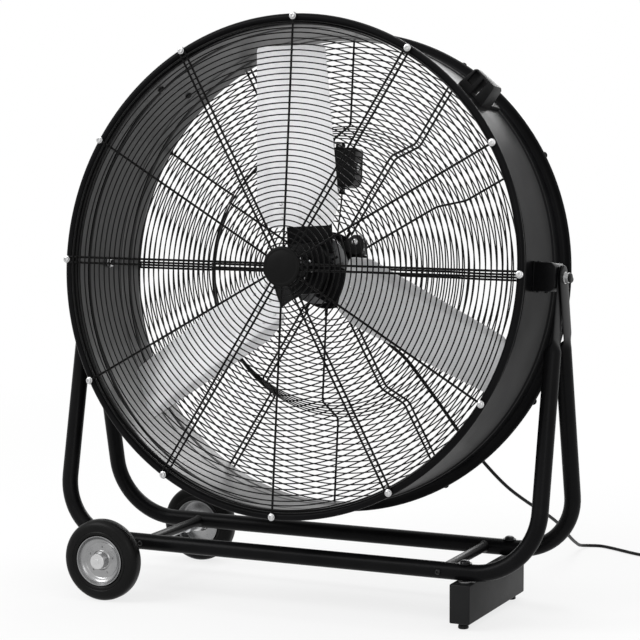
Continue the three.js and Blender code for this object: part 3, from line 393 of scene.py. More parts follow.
def sweep(frames: Sequence[Matrix], sides: int) -> Shape:
    """Extrudes a unit circle from one frame to the next and closes both ends.

    Args:
        frames: A matrix for each station; its Z column is the way on, X and Y span the section.
        sides: Sides of the section.

    Returns:
        The tube.
    """
    shape = Shape()
    bmesh.ops.create_circle(shape.bm, cap_ends=True, radius=1.0, segments=sides)
    shape.transform(frames[0])
    edges = shape.bm.edges[:]
    for before, after in zip(frames, frames[1:]):
        pushed = bmesh.ops.extrude_edge_only(shape.bm, edges=edges)["geom"]
        verts = [item for item in pushed if isinstance(item, bmesh.types.BMVert)]
        edges = [
            item for item in pushed
            if isinstance(item, bmesh.types.BMEdge) and all(v in verts for v in item.verts)
        ]
        bmesh.ops.transform(shape.bm, matrix=after @ before.inverted(), verts=verts)
    bmesh.ops.edgeloop_fill(shape.bm, edges=edges)
    bmesh.ops.recalc_face_normals(shape.bm, faces=shape.bm.faces[:])
    return shape


def frames_along(points: Sequence[Point], radius: float) -> list[Matrix]:
    """Frames that follow a path without twisting.

    Args:
        points: The path.
        radius: The section's radius.

    Returns:
        One frame for each point.
    """
    path = [Vector(point) for point in points]
    last = len(path) - 1
    tangents = [
        (path[min(i + 1, last)] - path[max(i - 1, 0)]).normalized() for i in range(last + 1)
    ]
    turn = tangents[0].to_track_quat("Z", "Y")
    size = Vector((radius, radius, radius))
    frames = [Matrix.LocRotScale(path[0], turn, size)]
    for point, before, tangent in zip(path[1:], tangents, tangents[1:]):
        turn = before.rotation_difference(tangent) @ turn
        frames.append(Matrix.LocRotScale(point, turn, size))
    return frames


def between(a: Vector, b: Vector, start: float, end: float, t: float) -> Vector:
    """Blends two points: the first where t is at the start, the second where it is at the end."""
    return a * ((end - t) / (end - start)) + b * ((t - start) / (end - start))


def smooth_path(points: Sequence[Point], step: float) -> list[Vector]:
    """A centripetal spline through points, cut into even steps.

    Args:
        points: The points it passes through.
        step: Length of a step.

    Returns:
        The points along it.
    """
    knots = [Vector(point) for point in points]
    knots = [2 * knots[0] - knots[1], *knots, 2 * knots[-1] - knots[-2]]
    fine: list[Vector] = []
    for p0, p1, p2, p3 in zip(knots, knots[1:], knots[2:], knots[3:]):
        t1 = max((p1 - p0).length, 1e-9) ** 0.5
        t2 = t1 + max((p2 - p1).length, 1e-9) ** 0.5
        t3 = t2 + max((p3 - p2).length, 1e-9) ** 0.5
        for i in range(SPLINE_CUTS):
            t = t1 + (t2 - t1) * i / SPLINE_CUTS
            a1 = between(p0, p1, 0.0, t1, t)
            a2 = between(p1, p2, t1, t2, t)
            a3 = between(p2, p3, t2, t3, t)
            b1, b2 = between(a1, a2, 0.0, t2, t), between(a2, a3, t1, t3, t)
            fine.append(between(b1, b2, t1, t2, t))
    fine.append(knots[-2])
    reach = [0.0]
    for before, after in zip(fine, fine[1:]):
        reach.append(reach[-1] + (after - before).length)
    count = max(round(reach[-1] / step), 2)
    even: list[Vector] = []
    index = 0
    for i in range(count + 1):
        want = reach[-1] * i / count
        while index < len(fine) - 2 and reach[index + 1] < want:
            index += 1
        share = (want - reach[index]) / max(reach[index + 1] - reach[index], 1e-12)
        even.append(fine[index].lerp(fine[index + 1], share))
    return even


def rounded_line(corners: Sequence[Point], reach: float, steps: int = 5) -> list[Vector]:
    """A line of straight pieces whose corners are rounded off.

    Args:
        corners: Its corners.
        reach: Length that the rounding takes off each side of a corner.
        steps: Pieces in a rounding.

    Returns:
        The points along it.
    """
    path = [Vector(corners[0])]
    for before, corner, after in zip(corners, corners[1:], corners[2:]):
        back, turn, on = Vector(before), Vector(corner), Vector(after)
        cut = min(reach, (turn - back).length / 2, (on - turn).length / 2)
        start = turn + (back - turn).normalized() * cut
        end = turn + (on - turn).normalized() * cut
        for i in range(steps + 1):
            t = i / steps
            path.append(start.lerp(turn, t).lerp(turn.lerp(end, t), t))
    path.append(Vector(corners[-1]))
    return path


def wire(path: Sequence[Point], radius: float, sides: int = 8) -> Shape:
    """A round wire along a path."""
    return sweep(frames_along(path, radius), sides)


def rings(places: Profile, radius: float, sides: int = 6, segments: int = 144) -> Shape:
    """Wire rings about the Y axis, spun in one go.

    Args:
        places: The (radius, y) of each ring.
        radius: The wire's radius.
        sides: Sides of the wire.
        segments: Steps in each ring.

    Returns:
        The rings.
    """
    shape = Shape()
    for ring_radius, y in places:
        bmesh.ops.create_circle(
            shape.bm, radius=radius, segments=sides, matrix=move(ring_radius, y)
        )
    return shape.spin(segments)


def evenly(count: int, first: float = 0.0) -> list[float]:
    """Degrees that share a full turn evenly."""
    return [first + 360.0 * index / count for index in range(count)]


def outwards() -> Matrix:
    """Turns a shape drawn along +Y so that it points along +X."""
    return Matrix.Rotation(math.radians(-90), 4, "Z")


def upwards() -> Matrix:
    """Turns a shape drawn along +Y so that it points along +Z."""
    return Matrix.Rotation(math.radians(90), 4, "X")


def forwards() -> Matrix:
    """Turns a shape drawn along +Y so that it points to the front."""
    return Matrix.Rotation(math.pi, 4, "X")


# ---------------------------------------------------------------- finishes


class Grain(Enum):
    """How the fine pattern of a finish runs."""

    EVEN = (1.0, 1.0, 1.0)
    ALONG_X = (0.03, 1.0, 1.0)


class Nodes:
    """The node tree of a material or a world, under work."""

    def __init__(self, owner: bpy.types.ID) -> None:
        """Opens the owner's tree."""
        owner.use_nodes = True
        self.tree = owner.node_tree

    def start(self, kind: str) -> bpy.types.Node:
        """Finds the node of a type that the tree starts with."""
        return next(node for node in self.tree.nodes if node.type == kind)

    def feed(self, node: bpy.types.Node, inputs: Mapping) -> bpy.types.Node:
        """Sets a node's inputs, or links them to outputs.

        Args:
            node: The node.
            inputs: A value or an output for each input's name or number.

        Returns:
            The node.
        """
        for key, value in inputs.items():
            if isinstance(value, bpy.types.NodeSocket):
                self.tree.links.new(value, node.inputs[key])
            else:
                node.inputs[key].default_value = value
        return node

    def add(self, kind: str, inputs: Mapping, operation: str = "") -> bpy.types.Node:
        """Adds a node.

        Args:
            kind: Its type.
            inputs: A value or an output for each input's name or number.
            operation: What it works out, for a maths node.

        Returns:
            The node.
        """
        node = self.tree.nodes.new(kind)
        if operation:
            node.operation = operation
        return self.feed(node, inputs)

    def place(self) -> bpy.types.NodeSocket:
        """The Object coordinates."""
        return self.add("ShaderNodeTexCoord", {}).outputs["Object"]

    def seen(self) -> bpy.types.NodeSocket:
        """Tells rays that show the surroundings from those that light the fan.

        Returns:
            1 for a camera, glossy or transmission ray, else 0.
        """
        path = self.add("ShaderNodeLightPath", {})
        total = path.outputs["Is Camera Ray"]
        for name in ("Is Glossy Ray", "Is Transmission Ray"):
            either = self.add("ShaderNodeMath", {0: total, 1: path.outputs[name]}, "MAXIMUM")
            total = either.outputs[0]
        return total


@dataclass(frozen=True)
class Finish:
    """A surface: its colour, gloss and fine texture, in Object coordinates."""

    name: str
    slot: str
    colour: tuple[float, float, float]
    mottle: tuple[float, float, float]
    roughness: tuple[float, float]
    metallic: float = 0.0
    specular: float = 0.5
    grain: Grain = Grain.EVEN
    grain_scale: float = 900.0
    grain_depth: float = 0.00005
    grain_detail: float = 3.0
    mottle_scale: float = 14.0
    mottle_detail: float = 4.0
    mottle_span: tuple[float, float] = (0.12, 0.42)
    gloss_span: tuple[float, float] = (0.7, 1.3)

    def material(self) -> bpy.types.Material:
        """Builds the node material, or returns the one already built.

        Returns:
            The material.
        """
        found = bpy.data.materials.get(self.name)
        if found:
            return found
        material = bpy.data.materials.new(self.name)
        nodes = Nodes(material)
        cloud = self._noise(nodes, Grain.EVEN, self.mottle_scale, self.mottle_detail)
        fine = self._noise(nodes, self.grain, self.grain_scale, self.grain_detail)
        bump = nodes.add("ShaderNodeBump", {"Distance": self.grain_depth, "Height": fine})
        nodes.feed(nodes.start("BSDF_PRINCIPLED"), {
            "Metallic": self.metallic,
            "Specular IOR Level": self.specular,
            "Base Color": self._tone(nodes, cloud, fine),
            "Roughness": self._gloss(nodes, cloud, fine),
            "Normal": bump.outputs["Normal"],
        })
        return material

    def _noise(
        self, nodes: Nodes, grain: Grain, scale: float, detail: float
    ) -> bpy.types.NodeSocket:
        """Adds a noise pattern.

        Args:
            nodes: The material's nodes.
            grain: How the pattern runs.
            scale: Cells in a metre.
            detail: Octaves.

        Returns:
            The pattern's value.
        """
        mapping = nodes.add("ShaderNodeMapping", {"Vector": nodes.place(), "Scale": grain.value})
        noise = nodes.add("ShaderNodeTexNoise", {
            "Vector": mapping.outputs["Vector"], "Scale": scale, "Detail": detail,
        })
        return noise.outputs["Fac"]

    def _tone(
        self, nodes: Nodes, cloud: bpy.types.NodeSocket, fine: bpy.types.NodeSocket
    ) -> bpy.types.NodeSocket:
        """Varies the colour between its two tones.

        Args:
            nodes: The material's nodes.
            cloud: The broad pattern.
            fine: The fine pattern.

        Returns:
            The colour.
        """
        both = nodes.add("ShaderNodeMath", {0: cloud, 1: fine}, "MULTIPLY")
        ramp = nodes.add("ShaderNodeValToRGB", {"Fac": both.outputs[0]})
        tones = zip(ramp.color_ramp.elements, self.mottle_span, (self.colour, self.mottle))
        for element, position, tone in tones:
            element.position, element.color = position, (*tone, 1.0)
        return ramp.outputs["Color"]

    def _gloss(
        self, nodes: Nodes, cloud: bpy.types.NodeSocket, fine: bpy.types.NodeSocket
    ) -> bpy.types.NodeSocket:
        """Varies the roughness between its two ends.

        Args:
            nodes: The material's nodes.
            cloud: The broad pattern.
            fine: The fine pattern.

        Returns:
            The roughness.
        """
        total = nodes.add("ShaderNodeMath", {0: cloud, 1: fine}, "ADD")
        low, high = self.gloss_span
        least, most = self.roughness
        span = nodes.add("ShaderNodeMapRange", {
            "Value": total.outputs[0], "From Min": low, "From Max": high, "To Min": least,
            "To Max": most,
        })
        return span.outputs["Result"]


BLACK_PAINT = Finish(
    "black_powder_coat", "black_paint", (0.0035, 0.0035, 0.0038), (0.0065, 0.0065, 0.007),
    (0.26, 0.38), specular=0.05, grain_scale=700.0, grain_depth=0.00006,
)
# A lighter, glossier copy of the drum paint for the barrel's inside: painted light and reflection on
# the same paint as outside.
LIT_INNER_PAINT = Finish(
    "drum_inner_coat", "drum_paint", (0.007, 0.007, 0.0075), (0.012, 0.012, 0.0125),
    (0.3, 0.4), specular=0.5, grain_scale=700.0, grain_depth=0.00006,
)
# The barrel's outer side: the shaded copy of the barrel paint, with weaker reflection than its lit
# inside copy.
DRUM_PAINT = Finish(
    "drum_powder_coat", "drum_paint", (0.0035, 0.0035, 0.0038), (0.0065, 0.0065, 0.007),
    (0.28, 0.38), specular=0.035, grain_scale=700.0, grain_depth=0.00006,
)
WIRE_PAINT = Finish(
    "guard_wire_coat", "black_paint", (0.004, 0.004, 0.004), (0.008, 0.008, 0.008),
    (0.34, 0.46), specular=0.06, grain_scale=1400.0, grain_depth=0.00003,
)
FOOT_PAINT = Finish(
    "foot_bar_coat", "black_paint", (0.008, 0.0082, 0.0085), (0.013, 0.0132, 0.0135),
    (0.42, 0.55), specular=0.12, grain_scale=1100.0, grain_depth=0.00008,
)
PLASTIC = Finish(
    "moulded_black_plastic", "black_plastic", (0.007, 0.007, 0.0073), (0.013, 0.013, 0.0135),
    (0.38, 0.52), specular=0.15, grain_scale=2200.0, grain_depth=0.00006,
)
BADGE_PLASTIC = Finish(
    "satin_badge_plastic", "black_plastic", (0.004, 0.004, 0.004), (0.007, 0.007, 0.007),
    (0.34, 0.42), specular=0.06, grain_scale=1800.0, grain_depth=0.00002,
)
KNOB_PLASTIC = Finish(
    "knob_plastic", "knob_plastic", (0.009, 0.009, 0.009), (0.016, 0.016, 0.016),
    (0.3, 0.42), specular=0.2, grain_scale=2000.0, grain_depth=0.00004,
)
ALUMINIUM = Finish(
    "mill_finish_aluminium", "blade_aluminium", (0.72, 0.72, 0.73), (0.85, 0.85, 0.86),
    (0.36, 0.48), metallic=0.7, grain=Grain.ALONG_X, grain_scale=900.0, grain_depth=0.00003,
)
ZINC = Finish(
    "bright_zinc", "zinc_plate", (0.50, 0.502, 0.506), (0.64, 0.64, 0.64),
    (0.24, 0.36), metallic=1.0, grain_scale=1500.0, grain_depth=0.00002, mottle_scale=24.0,
)
# A darker copy of the bright zinc for the wheel discs: painted shade on the same plating as the bosses.
SHADED_RIM_ZINC = Finish(
    "zinc_shaded_rim_copy", "zinc_plate", (0.22, 0.222, 0.226), (0.38, 0.38, 0.38),
    (0.24, 0.36), metallic=1.0, grain_scale=1500.0, grain_depth=0.00002, mottle_scale=24.0,
)
BLACK_ZINC = Finish(
    "black_zinc", "zinc_plate", (0.012, 0.012, 0.0125), (0.028, 0.028, 0.029),
    (0.25, 0.38), metallic=0.6, specular=0.2, grain_scale=1800.0, grain_depth=0.00003,
)
CAST = Finish(
    "cast_alloy", "cast_grey", (0.13, 0.132, 0.135), (0.22, 0.222, 0.225),
    (0.38, 0.52), metallic=0.9, grain_scale=1600.0, grain_depth=0.00012,
)
RUBBER = Finish(
    "moulded_rubber", "black_rubber", (0.008, 0.008, 0.008), (0.014, 0.014, 0.014),
    (0.55, 0.7), specular=0.15, grain_scale=1500.0, grain_depth=0.00006,
)
CORD_SHEATH = Finish(
    "cord_sheath", "black_rubber", (0.006, 0.006, 0.006), (0.010, 0.010, 0.010),
    (0.36, 0.46), specular=0.12, grain_scale=2600.0, grain_depth=0.00002,
)
TYRE = Finish(
    "solid_tyre_rubber", "tyre_rubber", (0.0045, 0.0045, 0.0045), (0.008, 0.008, 0.008),
    (0.3, 0.44), specular=0.08, grain_scale=1300.0, grain_depth=0.00005,
)


def publish(
    name: str, shape: Shape, finish: Finish, body: Body, nodes: Sequence[str] = (),
    at: Optional[Matrix] = None, smooth: float = 40.0, follow: bool = True,
) -> bpy.types.Object:
    """Makes a finished piece of a shape: in place, dressed and riding on its body.

    Args:
        name: The piece's name.
        shape: The shape, in millimetres.
        finish: Its finish.
        body: The body it rides on.
        nodes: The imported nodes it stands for.
        at: Where it lies in its body's frame.
        smooth: Degrees of fold up to which a surface shades smooth.
        follow: Whether it rides on one body, and isn't blended between two.

    Returns:
        The piece.
    """
    shape.transform(body.frame() if at is None else body.frame() @ at)
    mesh = bpy.data.meshes.new(name)
    shape.bm.to_mesh(mesh)
    shape.bm.free()
    mesh.materials.append(finish.material())
    piece = bpy.data.objects.new(name, mesh)
    bpy.context.scene.collection.objects.link(piece)
    mesh.polygons.foreach_set("use_smooth", [True] * len(mesh.polygons))
    mesh.set_sharp_from_angle(angle=math.radians(smooth))
    if follow:
        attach(piece, body.value)
    if nodes:
        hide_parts(*nodes)
    LOG.info("%s: %d faces", name, len(mesh.polygons))
    return piece


# ---------------------------------------------------------------- studio


@dataclass(frozen=True)
class Lamp:
    """A soft round lamp. Metres and watts."""

    name: str
    place: Point
    width: float
    power: float

    def hang(self, aim: Point) -> None:
        """Hangs the lamp.

        Args:
            aim: What it points at.
        """
        data = bpy.data.lights.new(self.name, "AREA")
        data.shape = "DISK"
        data.size = self.width
        data.energy = self.power
        lamp = bpy.data.objects.new(self.name, data)
        turn = (Vector(aim) - Vector(self.place)).to_track_quat("-Z", "Y")
        lamp.matrix_world = Matrix.Translation(self.place) @ turn.to_matrix().to_4x4()
        bpy.context.scene.collection.objects.link(lamp)


@dataclass
class Studio:
    """The camera, the lamps, the white surroundings and the floor. Metres and degrees."""

    eye: Point = (1.7696, -3.7753, 0.984)
    yaw: float = 24.94
    pitch: float = -5.99
    roll: float = -0.2
    lens: float = 120.98
    sensor: float = 36.0
    farthest: float = 60.0
    ambient: float = 0.55
    lamps: Sequence[Lamp] = (
        Lamp("key", (-2.6, -2.6, 3.2), 2.4, 100.0),
        Lamp("fill", (2.2, -3.4, 1.9), 2.0, 24.0),
        Lamp("top", (0.4, 0.6, 3.6), 2.2, 45.0),
        Lamp("back", (-0.4, 3.6, 1.75), 1.5, 27.0),
    )
    aim: Point = (0.0, 0.0, 0.6)
    floor_size: float = 12.0
    floor_cuts: int = 8
    floor_tone: float = 0.86
    floor_roughness: float = 0.9
    shadow_reach: tuple[float, float] = (0.8, 3.2)
    shadow_glow: float = 0.78

    def build(self) -> None:
        """Sets up everything that isn't the fan."""
        scene = bpy.context.scene
        scene.view_settings.view_transform = "Standard"
        self._camera(scene)
        self._world(scene)
        self._floor(scene)
        for lamp in self.lamps:
            lamp.hang(self.aim)

    def _camera(self, scene: bpy.types.Scene) -> None:
        """Adds the camera at the photograph's viewing angle.

        Args:
            scene: The scene that it films.
        """
        data = bpy.data.cameras.new("camera")
        data.lens = self.lens
        data.sensor_width = self.sensor
        data.sensor_fit = "HORIZONTAL"
        data.clip_end = self.farthest
        camera = bpy.data.objects.new("camera", data)
        camera.matrix_world = (
            Matrix.Translation(self.eye)
            @ Matrix.Rotation(math.radians(self.yaw), 4, "Z")
            @ Matrix.Rotation(math.radians(90.0 + self.pitch), 4, "X")
            @ Matrix.Rotation(math.radians(self.roll), 4, "Z")
        )
        scene.collection.objects.link(camera)
        scene.camera = camera

    def _world(self, scene: bpy.types.Scene) -> None:
        """Makes surroundings that look white and light the fan softly.

        Args:
            scene: The scene that they surround.
        """
        world = bpy.data.worlds.new("surroundings")
        nodes = Nodes(world)
        soft = nodes.feed(nodes.start("BACKGROUND"), {"Color": WHITE, "Strength": self.ambient})
        white = nodes.add("ShaderNodeBackground", {"Color": WHITE, "Strength": 1.0})
        mix = nodes.add("ShaderNodeMixShader", {
            0: nodes.seen(), 1: soft.outputs["Background"], 2: white.outputs["Background"],
        })
        nodes.feed(nodes.start("OUTPUT_WORLD"), {"Surface": mix.outputs["Shader"]})
        scene.world = world

    def _floor(self, scene: bpy.types.Scene) -> None:
        """Lays a pale floor that keeps the fan's shadow.

        Args:
            scene: The scene to lay it in.
        """
        shape = Shape()
        bmesh.ops.create_grid(
            shape.bm, x_segments=self.floor_cuts, y_segments=self.floor_cuts, size=self.floor_size
        )
        mesh = bpy.data.meshes.new("floor")
        shape.bm.to_mesh(mesh)
        shape.bm.free()
        mesh.materials.append(self._floor_material())
        floor = bpy.data.objects.new("floor", mesh)
        scene.collection.objects.link(floor)

    def _floor_material(self) -> bpy.types.Material:
        """Mixes the pale floor with a white glow that grows away from the fan.

        Returns:
            The material.
        """
        material = bpy.data.materials.new("pale_floor")
        nodes = Nodes(material)
        shader = nodes.feed(nodes.start("BSDF_PRINCIPLED"), {
            "Base Color": (self.floor_tone, self.floor_tone, self.floor_tone, 1.0),
            "Roughness": self.floor_roughness, "Specular IOR Level": 0.0,
        })
        glow = nodes.add("ShaderNodeEmission", {"Strength": 1.0})
        away = nodes.add("ShaderNodeVectorMath", {0: nodes.place()}, "LENGTH")
        near, far = self.shadow_reach
        fade = nodes.add("ShaderNodeMapRange", {
            "Value": away.outputs["Value"], "From Min": near, "From Max": far,
            "To Min": self.shadow_glow, "To Max": 1.0,
        })
        share = nodes.add("ShaderNodeMath", {0: nodes.seen(), 1: fade.outputs["Result"]}, "MULTIPLY")
        mix = nodes.add("ShaderNodeMixShader", {
            0: share.outputs[0], 1: shader.outputs["BSDF"], 2: glow.outputs["Emission"],
        })
        nodes.feed(nodes.start("OUTPUT_MATERIAL"), {"Surface": mix.outputs["Shader"]})
        return material


# ---------------------------------------------------------------- power cord


@dataclass
class PowerCord:
    """The mains cord from its gland to a coil on the floor, and its plug."""

    radius: float = 3.5
    exit_run: float = 14.0
    gland: Point = (81.0, 43.7, 30.7)
    gland_length: float = 28.0
    gap: float = 0.3
    route: Sequence[Point] = (
        (83, 44, 596), (87, 49, 569), (93.5, 58.4, 545.5), (103, 76, 519), (118, 104, 492),
        (138, 134, 463), (164, 160, 417), (193, 181, 368), (222, 200, 318), (249, 211, 281),
        (276, 224, 244), (308, 258, 197), (336, 309, 157), (354, 368, 125), (361, 440, 88),
        (358, 510, 51), (351, 572, 26), (347, 620, 10), (356, 651, 4.2), (379, 658, 3.9),
        (408, 647, 3.9), (440, 629, 3.9), (478, 609, 3.9), (512, 599, 3.9),
    )
    coil_centre: tuple[float, float] = (562.0, 553.0)
    coil_radius: float = 38.0
    loops: float = 3.25
    pitch: float = 7.9
    tail: float = 28.0
    loop_steps: int = 24
    plug_length: float = 52.0
    plug_width: float = 38.0
    plug_high: float = 22.6
    free_step: float = 8.0
    wound_step: float = 5.0

    def coil(self) -> list[Vector]:
        """Turns that spiral in on the floor, climb a layer and spiral out again.

        Returns:
            The points of the coil, in millimetres.
        """
        points = []
        half = self.loops / 2
        for i in range(round(self.loops * self.loop_steps) + 1):
            loop = i / self.loop_steps
            turn = math.pi / 2 - TURN * loop
            inward = loop if loop < half else self.loops - loop
            radius = self.coil_radius + self.pitch * (half / 2 - inward)
            climb = min(max((loop - half + 0.25) / 0.5, 0.0), 1.0)
            points.append(Vector((
                self.coil_centre[0] + radius * math.cos(turn),
                self.coil_centre[1] + radius * math.sin(turn),
                self.radius + self.gap + climb * self.pitch,
            )))
        return points

    def build(self) -> None:
        """Lays the cord, fits the plug and the gland."""
        coil = self.coil()
        way_in = (coil[0] - coil[1]).normalized()
        way_in.z = 0.0
        way_out = coil[-1] - coil[-2]
        way_out.z = 0.0
        way_out.normalize()
        mouth = coil[0] + way_in * 2 * self.radius
        seat = coil[-1] + way_out * self.tail
        to_floor = Matrix.Scale(1 / MM, 4) @ PLACE.drum()
        x, y, z = self.gland
        leave = to_floor @ Vector((x, y, z - self.gland_length - self.gap))
        below = to_floor @ Vector((x, y, z - self.gland_length - self.exit_run))
        free = smooth_path(
            [leave, below, *self.route, mouth + way_in * self.exit_run, mouth], self.free_step
        )
        wound = smooth_path([mouth, *coil, seat], self.wound_step)
        path = [*free, *wound[1:]]
        tube = sweep(frames_along(path, self.radius), sides=12)
        cord = publish(
            "mains_cord", tube, CORD_SHEATH, Body.BASE, ("power_cord", "cord_coil"), follow=False
        )
        plug = self._plug(seat, way_out)
        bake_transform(cord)
        self._gland()

    def _gland(self) -> bpy.types.Object:
        """Turns the ribbed, tapering gland that the cord leaves by.

        Returns:
            The gland.
        """
        hole, steps = self.radius + 0.25, 5
        profile = [(hole, 0.0), (11.0, 0.0), (11.4, 0.8), (11.4, 5.6), (10.6, 6.4)]
        pitch = (self.gland_length - 8.0) / steps
        for step in range(steps):
            start, radius = 6.8 + step * pitch, 8.6 - step * 0.75
            profile += [
                (radius - 1.2, start), (radius - 1.2, start + 0.9), (radius, start + 1.4),
                (radius, start + pitch - 0.6), (radius - 0.5, start + pitch),
            ]
        profile += [(hole + 1.0, self.gland_length), (hole, self.gland_length)]
        return publish(
            "ribbed_gland", turned(profile, 32), RUBBER, Body.DRUM, ("cord_gland",),
            move(*self.gland) @ upwards().inverted(),
        )

    def _plug(self, seat: Vector, way: Vector) -> list[bpy.types.Object]:
        """Builds the plug at the cord's end.

        Args:
            seat: Where the cord ends.
            way: The level direction in which it ends.

        Returns:
            The plug's pieces.
        """
        turn = Matrix.Rotation(math.atan2(way.y, way.x), 4, "Z")
        at = Matrix.Translation(seat + way * self.gap) @ turn
        half, long = self.plug_width / 2, self.plug_length
        outline = [
            (0, -7), (12, -9), (20, -half), (long, -half), (long, half), (20, half), (12, 9), (0, 7),
        ]
        body = prism(outline, -self.plug_high / 2, self.plug_high / 2, 2.4, 3)
        body.transform(upwards().inverted())
        for x in (4.0, 8.0):
            body.add(block((2.2, 15.5, 13.0), (x, 0, 0), 0.8))
        body.add(block((20.0, 24.0, 1.4), (36.0, 0, self.plug_high / 2 + 0.2), 0.5))
        pins = Shape()
        for side in (-9.5, 9.5):
            pin = rod(2.4, long - 3.0, long + 19.0, 16, 0.9)
            pins.add(pin, move(0, side, 0) @ outwards())
        return [
            publish("plug_body", body, PLASTIC, Body.BASE, ("power_plug",), at),
            publish("plug_pins", pins, ZINC, Body.BASE, (), at),
        ]


# ---------------------------------------------------------------- floor frame


@dataclass
class FloorFrame:
    """Two bent tubes, their cross bars and the pivot hardware."""

    tube: float = 16.0
    height: float = 104.0
    back: float = 120.0
    leg_x: float = 500.0
    bend: float = 120.0
    bend_steps: int = 18
    flat_thick: float = 4.0
    flat_width: float = 46.0
    flat_from: float = 141.0
    flat_to: float = 114.0
    flat_x: dict[End, float] = field(
        default_factory=lambda: {End.FRONT: 506.0, End.REAR: 510.3}
    )
    bar_x: float = 316.0
    bar_radius: float = 9.5

    @property
    def drop(self) -> float:
        """How far the tubes' bottom runs lie under the pivot axis."""
        return PLACE.pivot_height - self.height

    def build(self) -> None:
        """Builds the frame's pieces."""
        for end in End:
            name = end.name.lower()
            publish(
                f"{name}_tube", self._u_tube(end), BLACK_PAINT, Body.BASE, (f"{name}_frame_tube",)
            )
        for side in Side:
            self._cross_bar(side)
            self._pivot(side)

    def _u_tube(self, end: End) -> Shape:
        """Bends one tube from a flattened leg top to the other.

        Args:
            end: The front or the rear tube.

        Returns:
            The tube.
        """
        bottom = -math.hypot(self.drop, self.back)
        half = self.flat_width / 2
        tip = (half - 0.05, 22.0, 20.0, 17.0, 13.0, 8.0)
        stations = [(-self.leg_x, v, 0.0, math.sqrt(1.0 - (v / half) ** 2)) for v in tip]
        fold = (0.0, 60.0, 113.0, 115.0, 118.0, 122.0, 127.0, 132.0, 136.0, 139.0, 142.0)
        stations += [(-self.leg_x, -v, 0.0, 1.0) for v in fold]
        stations.append((-self.leg_x, bottom + self.bend, 0.0, 1.0))
        for step in range(1, self.bend_steps + 1):
            turn = math.pi / 2 * step / self.bend_steps
            stations.append((
                -self.leg_x + self.bend - self.bend * math.cos(turn),
                bottom + self.bend - self.bend * math.sin(turn), turn, 1.0,
            ))
        stations += [(-u, v, math.pi - turn, width) for u, v, turn, width in reversed(stations)]
        return sweep([self._frame(end, station) for station in stations], sides=32)

    def _frame(self, end: End, station: tuple[float, float, float, float]) -> Matrix:
        """Gives the section's frame at a station of the tube.

        Args:
            end: The front or the rear tube.
            station: Place along and up, the tube's turn and the share of the flat's width.

        Returns:
            The frame.
        """
        u, v, turn, width = station
        up = Vector((0.0, -end.value * self.back, self.drop)).normalized()
        along = Vector((1.0, 0.0, 0.0))
        share = min(max((v + self.flat_from) / (self.flat_from - self.flat_to), 0.0), 1.0)
        share = share * share * (3 - 2 * share)
        u += math.copysign(self.flat_x[end] - self.leg_x, u) * share
        way = along * math.sin(turn) - up * math.cos(turn)
        across = along * math.cos(turn) + up * math.sin(turn)
        thick = self.tube + (self.flat_thick / 2 - self.tube) * share
        wide = (self.tube + (self.flat_width / 2 - self.tube) * share) * width
        section = Matrix((across * thick, way.cross(across) * wide, way)).transposed()
        place = Vector((0.0, 0.0, PLACE.pivot_height)) + along * u + up * v
        return Matrix.Translation(place) @ section.to_4x4()

    def _cross_bar(self, side: Side) -> None:
        """Fits one cross bar and the two screws that hold it.

        Args:
            side: The left or the right bar.
        """
        name = side.name.lower()
        reach, radius = self.back - self.tube, self.bar_radius
        at = move(side.value * self.bar_x, 0, self.height)
        bar = turned([
            (0, -reach - 4), (radius + 2.5, -reach - 4), (radius + 1.2, -reach + 1.5),
            (radius, -reach + 4), (radius, reach - 4), (radius + 1.2, reach - 1.5),
            (radius + 2.5, reach + 4), (0, reach + 4),
        ], 36)
        publish(f"{name}_bar", bar, BLACK_PAINT, Body.BASE, (f"{name}_cross_bar",), at)
        for end in End:
            seat = move(0, end.value * (self.back + self.tube - 0.3), 0)
            turn = forwards() if end is End.FRONT else Matrix()
            publish(
                f"bar_screw_{name}_{end.name.lower()}", button_screw(5.5, 4.2, 3.0), BLACK_ZINC,
                Body.BASE, (f"cross_bar_screw_{name}_{end.name.lower()}",), at @ seat @ turn,
            )

    def _pivot(self, side: Side) -> None:
        """Fits one pivot: a hexagonal nut against the leg tops and a domed bolt end.

        Args:
            side: The left or the right pivot.
        """
        name = side.name.lower()
        turn = Matrix.Rotation(side.value * -math.pi / 2, 4, "Z")
        at = move(0, 0, PLACE.pivot_height) @ turn
        nut = washer(6.3, 11.4, 512.4, 513.9, 36).add(hexagon(21.5, 513.8, 521.4, 1.4))
        publish(f"pivot_nut_{name}_hex", nut, ZINC, Body.BASE, (f"pivot_nut_{name}",), at)
        bolt = rod(6.0, 447.5, 521.9, 24, 1.0)
        bolt.add(turned([
            (0, 521.6), (8.7, 521.6), (9.0, 522.2), (9.0, 523.8), (8.4, 525.0), (6.6, 525.8),
            (0, 526.0),
        ], 32))
        publish(f"pivot_bolt_{name}_cap", bolt, PLASTIC, Body.BASE, (f"pivot_bolt_{name}",), at)
        inner = washer(6.3, 10.6, 456.8, 458.0, 36).add(hexagon(19.5, 456.9, 451.0, 1.4))
        publish(f"pivot_lock_nut_{name}", inner, ZINC, Body.BASE, (), at)


